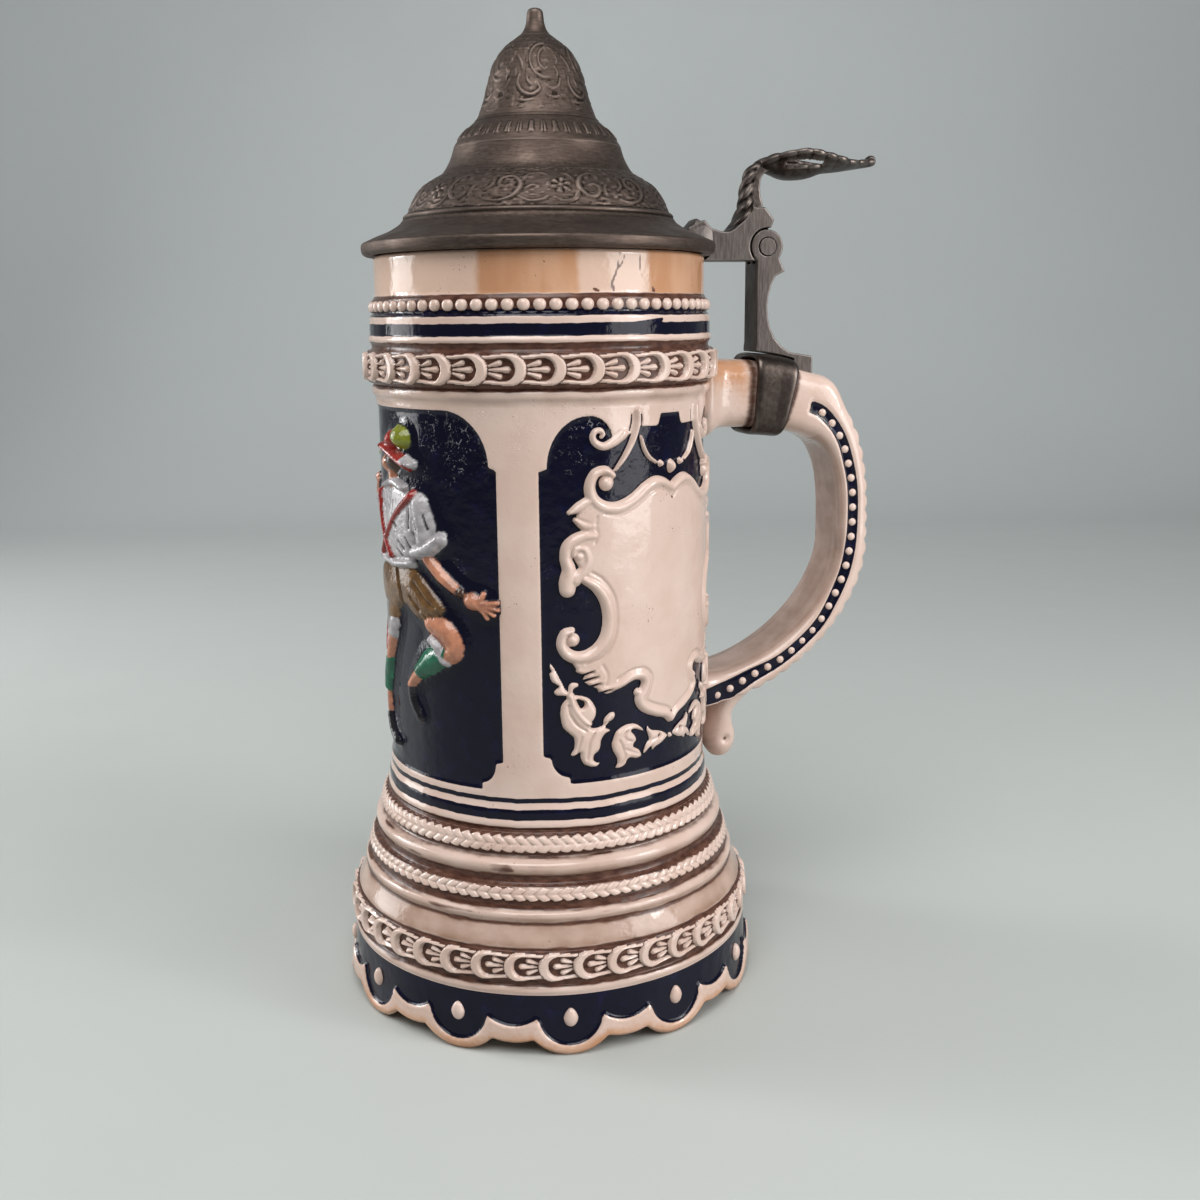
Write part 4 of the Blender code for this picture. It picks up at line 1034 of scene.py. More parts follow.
    def piece(self, name, middle, ground, finish, body, slot, painted=False):
        """The drawn relief as a closed piece, wrapped round the barrel and sunk a little into it."""
        rows, columns = self.x.shape
        faces = grid_faces(rows, columns)
        kept = faces[(self.height.ravel()[faces] > SUNK + 0.15).any(1)]
        count = rows * columns
        turn = middle + self.x / BARREL
        front, rear = ground + self.height, np.full(self.x.shape, ground - 1.2)
        points = []
        for radius in (front, rear):
            points.append(np.stack([radius * np.cos(turn), radius * np.sin(turn), self.z], -1).reshape(-1, 3))
        all_faces = shell_faces(kept, count)
        used, index = np.unique(all_faces, return_inverse=True)
        all_points = np.vstack(points)[used]
        fields = {"stain_and_shade": np.concatenate([self.stain_and_shade.ravel(), np.zeros(count)])[used]}
        fields["rise"] = np.concatenate([self.height.ravel(), np.zeros(count)])[used]
        fields["blue"] = np.clip(0.5 + 0.5 * (0.28 - fields["rise"]), 0, 1)
        paint = np.concatenate([self.paint.reshape(-1, 3)] * 2)[used] if painted else None
        mesh = new_mesh(name, all_points, [index.reshape(-1, 4)], fields, paint)
        return finished(name, mesh, finish, body)


PANEL_GROUND = BARREL - 0.4


def cartouche():
    """The cream rococo plaque with its scrolls, festoon and foliage; the left half is drawn, then mirrored."""
    s = Sheet(35.0, 62.5, 151.5, 0.3)
    top = [(-24.0, 151.5), (-24.0, 149.35), (-22.0, 149.2), (-20.2, 148.5), (-18.7, 147.3), (-17.8, 145.8)]
    top += [(-17.4, 144.2), (-16.8, 143.4), (-14.9, 143.9), (-12.2, 145.0), (-10.2, 146.4), (-5.2, 146.2)]
    top += [(-4.2, 146.6), (-3.4, 149.0), (3.4, 149.0), (4.2, 146.6), (5.2, 146.2), (10.2, 146.4), (20, 151.5)]
    s.plate(top, 0.46, 0.3, smooth=False)
    s.stroke([(-14.6, 145.0, 1.4), (-16.8, 143.4, 1.2), (-19.4, 142.4, 0.98), (-21.4, 143.2, 0.88), (-22.1, 144.6, 0.8),
              (-21.5, 145.8, 0.72), (-20.3, 146.0, 0.66), (-19.6, 145.2, 0.6), (-20.0, 144.6, 0.5)], 1.0, base=0.2)
    s.stroke([(-10.8, 150.2, 0.75), (-10.9, 147.2, 0.85), (-12.2, 143.4, 0.8), (-14.4, 139.8, 0.62), (-16.8, 136.9, 0.28)], 1.7)
    for line in ([(-12.2, 150.0, 0.3), (-12.3, 147.8, 0.4), (-12.9, 145.6, 0.3)], [(-9.5, 150.0, 0.3), (-9.4, 148.2, 0.4), (-9.5, 146.6, 0.3)]):
        s.dent(line, 0.3, 0.55)
    s.stroke([(-9.8, 144.2, 0.35), (-8.9, 141.6, 0.55), (-7.4, 139.4, 0.62), (-5.2, 138.0, 0.45)], 1.2)
    s.blob(-3.7, 137.6, 0.95, 0.98, 1.4)
    s.blob(0, 136.7, 1.4, 1.85, 1.9)
    plaque = [(0, 131.6), (-2.6, 133.6), (-5.6, 134.4), (-8.6, 133.2), (-12, 130.9), (-16, 129.4), (-19.4, 129.9)]
    plaque += [(-22.5, 131.0), (-24.6, 129.2), (-26.2, 126.4), (-23.2, 124.6), (-25.6, 122.4), (-27.5, 119.0)]
    plaque += [(-24.5, 113.2), (-21.6, 110.0), (-20.2, 104.5), (-20.7, 99.0), (-23.4, 95.0), (-27.4, 93.4), (-26.6, 91.0)]
    plaque += [(-24.6, 89.0), (-22.4, 86.6), (-19.6, 84.4), (-15.6, 85.4), (-11.6, 87.0), (-9.3, 86.0), (-9.2, 84.4)]
    plaque += [(-11.2, 83.4), (-10.8, 81.2), (-8.6, 78.6), (-5.0, 77.0), (-2.0, 75.8), (0, 74.0)]
    right = [(-x, z) for x, z in plaque[-2:0:-1]]
    s.plate(plaque + right, 1.0, 0.9, crown=0.25)
    frame_top = [(0.3, 131.3, 1.0), (-2.6, 132.9, 1.15), (-5.6, 133.4, 1.2), (-8.6, 132.2, 1.2), (-12, 129.8, 1.25),
                 (-16, 128.2, 1.35), (-19.6, 128.5, 1.4), (-22.1, 130.4, 1.3), (-22.9, 133.4, 1.15), (-21.7, 136.2, 1.0),
                 (-19.3, 137.0, 0.85), (-17.4, 135.8, 0.7)]
    s.stroke(frame_top, 1.0, base=0.75)
    s.blob(-18.9, 134.1, 1.9, 1.9, 1.7, base=0.2)
    s.stroke([(-23.2, 130.2, 1.1), (-25.6, 128.8, 1.1), (-27.8, 127.7, 0.45)], 1.0, base=0.5)
    s.stroke([(-21.6, 124.4, 1.0), (-24.2, 124.6, 1.1), (-26.4, 126.0, 0.5)], 0.8, base=0.5)
    s.stroke([(-21.8, 122.2, 1.0), (-25.0, 122.0, 1.3), (-28.0, 120.2, 1.35), (-28.7, 117.4, 1.3), (-28.0, 114.6, 1.5),
              (-28.3, 111.8, 1.9), (-28.4, 110.0, 1.75)], 1.1, base=0.6)
    s.stroke([(-26.6, 112.2, 1.5), (-24.6, 114.2, 1.2), (-23.6, 116.8, 1.05), (-24.4, 119.2, 0.95), (-26.3, 119.4, 0.8),
              (-27.0, 118.0, 0.6)], 1.1, base=0.6)
    s.blob(-25.6, 117.6, 1.1, 1.1, 1.2, base=0.5)
    s.stroke([(-24.4, 112.2, 0.9), (-21.4, 110.2, 1.25), (-19.1, 106.6, 1.45), (-18.4, 102.0, 1.5), (-19.3, 98.0, 1.5),
              (-21.8, 95.0, 1.45), (-25.2, 93.7, 1.4), (-28.4, 94.6, 1.25), (-29.9, 97.0, 1.1), (-29.3, 99.6, 0.9),
              (-27.6, 100.3, 0.7)], 1.1, base=0.7)
    s.blob(-27.3, 98.1, 1.75, 1.75, 1.9)
    s.stroke([(-20.8, 90.4, 0.8), (-23.4, 90.2, 0.9), (-26.0, 90.8, 0.5)], 0.6, base=0.7)
    s.stroke([(-19.8, 87.6, 0.9), (-22.0, 87.4, 1.0), (-24.4, 88.4, 0.5)], 0.6, base=0.7)
    s.stroke([(-20.4, 85.6, 0.8), (-16.2, 86.5, 1.1), (-12.4, 88.0, 1.15), (-9.6, 87.8, 1.15), (-8.4, 86.0, 1.1),
              (-9.2, 83.8, 1.05), (-10.4, 82.0, 1.05), (-9.0, 79.8, 1.1), (-5.4, 78.0, 1.1), (-2.0, 76.8, 1.05),
              (0, 75.2, 1.0)], 0.85, base=0.75)
    s.blob(-10.9, 83.7, 1.15, 1.15, 1.3)
    inner = [(0, 129.4), (-3.0, 131.5), (-6.0, 131.6), (-9.4, 129.8), (-12.6, 127.9), (-16, 126.7), (-19.6, 127.2)]
    s.dent([(x, z, 0.42) for x, z in inner], 0.4, 1.1)
    s.dent([(x, z, 0.42) for x, z in ((-21.4, 126.6), (-21.6, 124.2), (-21.2, 122.0), (-22.0, 120.6))], 0.35, 0.7)
    s.dent([(x, z, 0.42) for x, z in ((-22.8, 113.8), (-20.0, 111.8), (-17.4, 107.6), (-16.7, 102.0), (-17.6, 97.2),
                                      (-20.4, 93.6), (-24.4, 92.2))], 0.4, 1.1)
    s.dent([(x, z, 0.42) for x, z in ((-20.4, 91.6), (-19.2, 89.0), (-19.6, 86.6))], 0.3, 0.55)
    s.dent([(x, z, 0.42) for x, z in ((-16.6, 87.9), (-12.6, 89.5), (-9.0, 89.3), (-7.0, 86.9), (-7.6, 83.8), (-8.6, 81.6),
                                      (-7.2, 80.6), (-4.6, 79.4), (-1.8, 78.3), (0, 76.9))], 0.4, 1.1)
    for slit in ([(-26.6, 89.0, 0.34), (-22.6, 90.2, 0.1)], [(-25.2, 88.0, 0.34), (-21.6, 88.8, 0.1)],
                 [(-23.8, 86.4, 0.34), (-21.0, 87.1, 0.1)], [(-21.6, 84.6, 0.3), (-18.2, 85.3, 0.1)]):
        s.cut(slit)
    foliage(s)
    s.mirror()
    return s


def foliage(s):
    """Two acanthus sprays and a bell flower below the plaque."""
    leaf = [(-32.6, 92.6), (-31.6, 91.3), (-30.4, 88.9), (-29.4, 86.9), (-28.4, 85.1), (-29.2, 84.7), (-30.5, 84.8)]
    leaf += [(-31.5, 85.0), (-31.9, 85.8), (-31.4, 86.5), (-30.7, 87.0), (-31.4, 87.6), (-32.3, 88.2), (-32.8, 89.3)]
    s.plate(leaf + [(-32.9, 90.4), (-32.4, 90.6), (-32.8, 91.7)], 0.9, 0.8, crown=0.4)
    s.dent([(-32.0, 91.2, 0.25), (-30.9, 88.6, 0.35), (-29.3, 86.0, 0.3)], 0.45, 0.2)
    leaf = [(-28.3, 87.4), (-27.5, 87.9), (-26.2, 87.6), (-26.1, 86.9), (-27.2, 86.3), (-27.6, 85.2), (-28.2, 84.7), (-28.6, 86.0)]
    s.plate(leaf, 0.9, 0.7, crown=0.3)
    spray = [(-28.1, 84.7), (-29.9, 83.1), (-30.5, 81.2), (-30.4, 78.9), (-29.8, 76.9), (-28.5, 75.5), (-27.4, 74.3)]
    spray += [(-27.3, 72.0), (-28.2, 70.2), (-27.2, 70.0), (-26.0, 70.6), (-25.8, 69.3), (-25.1, 67.8), (-23.4, 66.9)]
    spray += [(-21.9, 66.9), (-21.1, 67.7), (-21.9, 67.9), (-22.6, 68.6), (-22.4, 69.8), (-21.4, 70.6), (-20.9, 71.6)]
    spray += [(-20.6, 73.3), (-19.7, 74.6), (-18.3, 75.4), (-19.5, 76.2), (-18.8, 77.3), (-17.4, 78.2), (-17.1, 79.4)]
    spray += [(-17.9, 79.9), (-19.1, 79.3), (-20.0, 78.3), (-20.2, 77.1), (-21.2, 76.6), (-22.5, 76.4), (-23.6, 77.2)]
    spray += [(-22.3, 78.7), (-21.8, 80.5), (-22.4, 82.2), (-23.5, 83.7), (-25.2, 84.5), (-26.8, 84.8)]
    s.plate(spray, 1.1, 1.1, crown=0.5)
    s.cut([(-26.4, 82.9, 0.85), (-25.6, 82.5, 0.95)])
    s.stroke([(-28.0, 84.6, 0.6), (-27.4, 82.4, 0.75), (-26.4, 80.4, 0.8), (-24.8, 78.4, 0.7), (-23.6, 77.6, 0.4)], 0.6, base=1.1)
    s.dent([(-28.6, 82.6, 0.3), (-28.2, 80.2, 0.4), (-26.6, 77.6, 0.45), (-24.4, 76.0, 0.3)], 0.5, 0.25)
    s.dent([(-22.4, 75.4, 0.3), (-23.6, 73.4, 0.4), (-24.0, 71.4, 0.4), (-24.3, 69.0, 0.3)], 0.5, 0.2)
    s.dent([(-25.6, 74.6, 0.3), (-26.2, 72.6, 0.35), (-26.6, 71.0, 0.25)], 0.4, 0.15)
    s.dent([(-21.6, 75.9, 0.3), (-19.8, 77.0, 0.35), (-18.2, 78.6, 0.25)], 0.4, 0.15)
    leaf = [(-17.7, 72.9), (-16.8, 74.8), (-15.0, 75.9), (-12.8, 76.2), (-10.8, 75.6), (-9.1, 74.1), (-9.5, 73.8), (-11.6, 74.6)]
    leaf += [(-12.7, 74.4), (-11.6, 73.0), (-11.3, 71.8), (-12.0, 71.1), (-12.0, 70.3), (-11.2, 69.8), (-10.2, 69.0), (-9.8, 67.6)]
    leaf += [(-11.2, 67.2), (-12.8, 67.6), (-13.8, 67.4), (-14.4, 66.3), (-15.6, 65.7), (-17.1, 65.8), (-16.5, 67.0), (-16.8, 68.5)]
    s.plate(leaf + [(-17.7, 70.1), (-18.0, 71.8)], 1.0, 1.0, crown=0.5)
    s.dent([(-14.2, 74.6, 0.3), (-14.9, 73.6, 0.4), (-14.2, 72.4, 0.4), (-12.8, 72.0, 0.3)], 0.55, 0.25)
    s.dent([(-16.2, 72.6, 0.3), (-15.4, 70.4, 0.4), (-14.8, 68.2, 0.35), (-15.8, 66.6, 0.25)], 0.45, 0.2)
    s.dent([(-14.6, 70.2, 0.3), (-12.6, 69.2, 0.35), (-11.0, 68.4, 0.25)], 0.4, 0.2)
    bell = [(-7.7, 74.8), (-8.1, 73.8), (-7.7, 72.5), (-7.4, 71.3), (-8.4, 70.1), (-9.1, 68.5), (-9.0, 67.9), (-7.7, 68.8)]
    bell += [(-6.6, 69.2), (-6.4, 68.2), (-5.5, 68.8), (-3.6, 69.3), (-1.7, 70.3), (-1.1, 71.0), (-2.3, 72.0), (-4.4, 72.9)]
    s.plate(bell + [(-6.3, 73.4), (-7.4, 74.2)], 0.9, 1.0, crown=0.5)
    s.dent([(-7.4, 70.9, 0.3), (-6.0, 71.2, 0.35), (-5.2, 71.4, 0.25)], 0.4, 0.2)
    s.cut([(-4.2, 71.6, 0.42), (-4.1, 71.6, 0.42)])
    s.blob(0, 70.7, 0.8, 0.8, 1.0)


WOMAN_ASIDE = 3.0  # further round the mug than drawn


def figures():
    """A couple dancing: the man from behind on the right, the woman on the left."""
    s = Sheet(45.5, 62.5, 150.5, 0.32)
    dancing_man(s)
    s.x += WOMAN_ASIDE
    dancing_woman(s)
    s.x -= WOMAN_ASIDE
    s.sink_into_glaze(130, 0.85, COBALT)
    return s


def dancing_man(s):
    s.stroke([(5.0, 128.2, 3.0), (0.6, 127.6, 3.2)], 1.7, colour=LINEN)
    s.stroke([(-1.2, 127.2, 1.8), (-5.4, 128.4, 1.6), (-9.4, 130.8, 1.4)], 1.4, colour=FLESH)
    s.stroke([(11.0, 104.5, 4.4), (10.4, 100.4, 4.1)], 2.0, colour=LEATHER)
    s.stroke([(11.0, 98.6, 3.3), (9.9, 95.8, 3.1)], 2.2, colour=LINEN)
    s.stroke([(9.6, 94.6, 2.7), (8.2, 91.2, 2.5), (7.2, 89.0, 2.2)], 2.1, colour=FLESH)
    s.stroke([(6.9, 88.2, 2.8), (5.2, 84.4, 3.0), (4.4, 80.6, 2.2)], 2.2, colour=GREEN)
    s.stroke([(4.4, 78.8, 1.7), (4.8, 74.6, 1.5)], 1.7, colour=FLESH)
    s.stroke([(4.6, 73.4, 1.7), (6.6, 69.6, 2.0), (10.0, 67.4, 1.4)], 1.9, colour=BLACK)
    s.stroke([(18.4, 84.6, 1.7), (18.7, 80.6, 2.0), (21.6, 76.4, 1.5)], 1.7, colour=BLACK)
    s.stroke([(22.6, 88.2, 2.0), (20.2, 86.2, 2.1), (18.4, 84.2, 1.7)], 1.9, colour=FLESH)
    s.stroke([(27.0, 100.6, 3.2), (31.4, 98.4, 3.7), (33.2, 95.0, 3.3), (31.2, 93.0, 2.6)], 2.4, colour=FLESH)
    s.stroke([(30.6, 93.4, 2.9), (26.4, 91.4, 3.7), (22.8, 88.6, 2.8)], 2.7, colour=GREEN)
    s.stroke([(31.2, 92.0, 0.8), (29.4, 95.0, 0.9), (27.2, 96.8, 0.7)], 0.6, base=2.3, colour=LINEN)
    seat = [(6.0, 113.4), (14.0, 114.6), (21.0, 113.6), (25.4, 110.6), (30.6, 105.6), (30.8, 103.4), (26.4, 100.2)]
    seat += [(21.4, 101.2), (17.2, 103.6), (13.4, 101.8), (7.0, 102.6), (4.4, 108.0)]
    s.plate(seat, 1.7, 2.4, colour=LEATHER, crown=1.1)
    s.dent([(15.6, 112.4, 0.5), (17.0, 107.0, 0.6), (16.8, 103.2, 0.5)], 0.8, 0.55)
    s.dent([(22.0, 110.0, 0.4), (25.6, 106.4, 0.5), (28.6, 104.6, 0.4)], 0.5, 0.4)
    s.dent([(20.6, 106.6, 0.4), (24.0, 103.6, 0.45)], 0.5, 0.4)
    for k in range(5):
        s.dent([(22.0 + 1.7 * k, 101.6 + 0.5 * k, 0.3), (22.8 + 1.7 * k, 100.0 + 0.6 * k, 0.25)], 0.5, 0.5)
    back = [(7.4, 131.4), (12.0, 132.8), (17.0, 132.6), (22.4, 131.0), (25.6, 128.8), (24.8, 123.0), (22.0, 117.0)]
    back += [(20.4, 114.4), (10.2, 113.9), (7.4, 117.0), (5.4, 122.4), (5.0, 127.6)]
    s.plate(back, 1.6, 2.4, colour=LINEN, crown=1.0)
    s.stroke([(24.2, 128.4, 3.4), (25.4, 123.6, 4.2), (25.6, 119.8, 3.4)], 3.0, colour=LINEN)
    s.stroke([(22.6, 117.2, 1.3), (26.6, 118.4, 1.7), (30.6, 121.0, 1.3)], 1.2, base=1.9, colour=LINEN)
    s.stroke([(26.4, 116.0, 2.2), (30.2, 112.4, 2.2), (34.2, 109.6, 1.7)], 2.2, colour=FLESH)
    s.blob(35.4, 108.9, 1.5, 1.8, 2.2, 35, colour=HAIR)
    s.blob(38.6, 107.0, 3.0, 2.6, 2.2, -20, colour=FLESH)
    for tip in ((41.4, 108.9, 0.8), (44.8, 106.9, 0.75), (44.8, 105.3, 0.75), (43.8, 104.0, 0.75), (42.2, 103.2, 0.7)):
        s.stroke([(38.8, 106.8, 1.1), (tip[0] * 0.5 + 20.0, tip[1] * 0.5 + 53.2, 0.85), tip], 1.7, colour=FLESH)
    s.stroke([(13.6, 133.0, 2.6), (13.6, 136.0, 2.4)], 2.0, colour=FLESH)
    s.stroke([(9.8, 132.0, 0.9), (14.4, 133.2, 1.1), (19.2, 132.0, 0.9)], 1.1, base=1.4, colour=LINEN)
    s.blob(13.8, 138.4, 4.0, 4.4, 2.6, colour=HAIR)
    s.blob(11.4, 137.6, 2.3, 3.2, 2.7, colour=FLESH)
    s.blob(12.7, 137.6, 0.75, 1.15, 0.6, 15, base=2.4, colour=FLESH)
    s.blob(13.0, 143.0, 3.2, 2.8, 2.5, 10, colour=RED)
    s.blob(18.0, 143.9, 4.3, 3.2, 3.4, -14, colour=MOSS)
    s.stroke([(10.4, 141.6, 0.8), (15.4, 139.9, 1.0), (21.0, 137.6, 0.95)], 1.2, base=2.1, colour=RED)
    s.stroke([(20.2, 138.6, 0.8), (22.6, 137.7, 0.6)], 1.2, base=2.1, colour=LINEN)
    s.stroke([(22.2, 130.6, 0.8), (16.4, 125.6, 0.75), (11.4, 120.0, 0.7), (8.8, 115.8, 0.65)], 0.5, base=2.35, colour=RED)
    s.stroke([(8.2, 130.4, 0.7), (8.8, 125.4, 0.65), (10.4, 120.0, 0.65), (13.4, 115.4, 0.65)], 0.5, base=2.35, colour=RED)
    s.stroke([(8.2, 114.6, 0.8), (14.8, 113.8, 0.9), (21.0, 114.4, 0.8)], 0.7, base=2.1, colour=LINEN)
    folds = [((15.0, 124.0), (16.2, 122.6)), ((16.6, 119.4), (18.8, 117.6)), ((15.8, 117.4), (18.0, 115.8))]
    folds += [((21.4, 127.4), (20.8, 122.8)), ((23.0, 125.4), (24.6, 122.8)), ((26.4, 126.6), (27.6, 123.2))]
    folds += [((19.6, 120.4), (21.4, 117.4)), ((22.2, 122.0), (23.6, 119.6)), ((10.0, 128.4), (11.0, 126.6))]
    for (ax, az), (bx, bz) in folds:
        s.dent([(ax, az, 0.28), (bx, bz, 0.42)], 0.55, 0.85)


def dancing_woman(s):
    s.stroke([(-24.0, 82.0, 2.0), (-24.8, 76.0, 1.7), (-24.4, 72.0, 1.4)], 1.6, colour=LINEN)
    s.stroke([(-24.2, 71.4, 1.5), (-26.4, 69.2, 1.7), (-28.6, 68.0, 1.1)], 1.7, colour=BLACK)
    s.stroke([(-17.4, 81.0, 2.0), (-15.4, 76.4, 1.7), (-13.8, 73.4, 1.4)], 1.6, colour=LINEN)
    s.stroke([(-13.6, 72.8, 1.5), (-11.6, 71.0, 1.6), (-9.6, 70.8, 1.0)], 1.7, colour=BLACK)
    skirt = [(-24.2, 113.0), (-18.0, 113.0), (-14.6, 105.0), (-11.4, 94.0), (-9.2, 85.6), (-13.6, 81.8), (-18.6, 80.4)]
    skirt += [(-24.0, 79.6), (-30.6, 80.6), (-37.4, 84.4), (-35.6, 92.0), (-30.6, 102.0), (-27.0, 108.0)]
    s.plate(skirt, 1.7, 2.2, colour=RED, crown=0.9)
    apron = [(-23.6, 111.6), (-18.6, 111.6), (-16.6, 102.0), (-15.2, 91.0), (-18.2, 87.4), (-23.6, 86.6), (-27.4, 88.4)]
    apron += [(-27.0, 97.0), (-25.4, 105.0)]
    s.plate(apron, 0.5, 0.6, base=2.1, colour=LINEN, crown=0.3)
    for foot_x, foot_z in ((-33.6, 84.6), (-30.4, 83.2), (-12.6, 85.0), (-21.0, 88.6), (-24.6, 88.8), (-17.6, 89.2)):
        s.dent([(-21.2 + (foot_x + 21.2) * 0.3, 108.0, 0.3), (foot_x, foot_z, 0.75)], 0.6, 0.3)
    bodice = [(-25.2, 126.4), (-21.0, 125.0), (-16.8, 126.4), (-16.6, 120.0), (-18.2, 113.0), (-23.8, 113.0), (-25.6, 120.0)]
    s.plate(bodice, 1.8, 1.8, colour=GREEN, crown=0.8)
    s.plate([(-23.6, 126.8), (-18.4, 126.8), (-19.2, 123.6), (-21.0, 122.4), (-22.8, 123.6)], 0.5, 0.5, 2.0, LINEN)
    for k in range(4):
        s.stroke([(-22.0, 121.4 - 2.2 * k, 0.28), (-20.0, 120.4 - 2.2 * k, 0.28)], 0.4, base=2.3, colour=RED)
    s.stroke([(-28.0, 123.4, 2.2), (-30.8, 118.4, 1.9), (-30.6, 116.4, 1.8)], 1.8, colour=FLESH)
    s.stroke([(-30.8, 116.8, 1.8), (-27.6, 114.2, 1.6), (-25.0, 113.2, 1.5)], 1.8, colour=FLESH)
    s.stroke([(-13.8, 125.6, 2.0), (-10.4, 127.6, 1.7), (-7.6, 131.0, 1.4)], 1.8, colour=FLESH)
    s.blob(-7.2, 131.8, 1.8, 1.7, 2.0, colour=FLESH)
    s.blob(-27.4, 124.8, 3.2, 3.0, 2.7, colour=LINEN)
    s.blob(-14.8, 125.4, 3.2, 2.9, 2.7, colour=LINEN)
    s.stroke([(-21.0, 126.4, 1.9), (-21.0, 129.8, 1.7)], 1.9, colour=FLESH)
    s.blob(-21.0, 135.4, 4.2, 4.2, 2.0, colour=HAIR)
    s.blob(-21.0, 133.2, 3.2, 4.1, 2.8, colour=FLESH)
    s.stroke([(-21.0, 134.0, 0.35), (-21.0, 132.5, 0.6)], 0.5, base=2.6, colour=FLESH)
    for side in (-1, 1):
        s.dent([(-21.0 + side * 0.8, 134.1, 0.3), (-21.0 + side * 1.7, 134.1, 0.3)], 0.25, 0.9)
    s.stroke([(-21.8, 131.2, 0.28), (-20.2, 131.2, 0.28)], 0.25, base=2.35, colour=RED)
    s.stroke([(-26.2, 137.0, 1.0), (-21.0, 138.2, 1.3), (-15.8, 137.0, 1.0)], 1.0, base=2.1, colour=MOSS)
    s.blob(-21.0, 140.8, 3.4, 2.9, 2.9, colour=MOSS)
    s.stroke([(-24.2, 139.0, 0.6), (-21.0, 139.8, 0.7), (-17.8, 139.0, 0.6)], 0.5, base=2.5, colour=RED)
    s.stroke([(-18.4, 140.2, 0.5), (-16.6, 142.6, 0.9), (-15.8, 145.4, 0.3)], 1.0, base=1.5, colour=LINEN)


def mug_relief():
    drawn = cartouche()
    for name, middle in (("right_cartouche", -SIDE_TURN), ("left_cartouche", SIDE_TURN)):
        drawn.piece(name, middle, PANEL_GROUND, STONEWARE, "mug", "glazed_body")
    figures().piece("dancing_figures", FRONT_TURN, PANEL_GROUND, ENAMEL, "mug", "glazed_body", painted=True)


# Handle

EAR_TOP = 151.4
EAR_REACH = 41.95
EAR_DROP = 41.0
EAR_LOWER_DROP = 37.2


def ear_line(along):
    """Middle, thickness and width of the ear: 0 is its upper root, 1 its back and 2 its lower root."""
    a = np.clip(np.where(along < 1, along, along - 1), 0, 1) * math.pi / 2
    upper = along < 1
    sine, cosine = np.sin(a), np.maximum(np.cos(a), 0)
    out = np.where(upper, sine ** (2 / 3.4), cosine ** (2 / 1.74))
    down = 1 - cosine ** (2 / 3.4)
    height = np.where(upper, EAR_TOP - EAR_DROP * down, EAR_TOP - EAR_DROP - EAR_LOWER_DROP * sine ** (2 / 1.74))
    root = 8.6 * np.exp(-((np.maximum(down, 0) / 0.23) ** 1.33))
    thickness = 8.9 + np.where(upper, root, 0.9 * (1 - out) ** 4)
    spread = np.where(upper, np.clip((out - 0.45) / 0.4, 0, 1), 1)
    overrun = 49.0 * (np.minimum(along, 0) + np.minimum(2 - along, 0))
    return BARREL + EAR_REACH * out + overrun, height, thickness, 17.5 + 2.5 * spread


def ear_stations(count):
    """Places along the ear, equally far apart on its line."""
    fine = np.linspace(-0.08, 2.08, 3000)
    s, z, _, _ = ear_line(fine)
    run = np.concatenate([[0], np.cumsum(np.hypot(np.diff(s), np.diff(z)))])
    return np.interp(np.linspace(0, run[-1], count), run, fine), np.linspace(0, run[-1], count)


# Middle of the side channel, as (out, up, half width), from its blunt upper end to the lower root
CHANNEL = [(69.4, 147.9, 1.7), (72.9, 146.1, 1.7), (75.8, 143.2, 1.65), (78.0, 139.9, 1.6), (79.7, 135.9, 1.6),
           (81.7, 128.1, 1.6), (82.3, 120.5, 1.6), (82.1, 112.2, 1.6), (80.8, 104.6, 1.6), (77.9, 97.4, 1.6),
           (73.8, 90.3, 1.6), (68.3, 84.8, 1.6), (61.7, 80.0, 1.7), (54.2, 76.6, 2.1), (47.6, 73.2, 2.9), (42.0, 70.9, 3.6)]
CHANNEL_END = (0.98, -0.19)  # the way into the channel, square to its blunt end
DOTS = 25
SHOULDER = 0.40


def ear_frame(count):
    along, run = ear_stations(count)
    s, z, thickness, width = ear_line(along)
    ds, dz = np.gradient(s), np.gradient(z)
    size = np.hypot(ds, dz)
    return along, run, s, z, thickness, width, -dz / size, ds / size


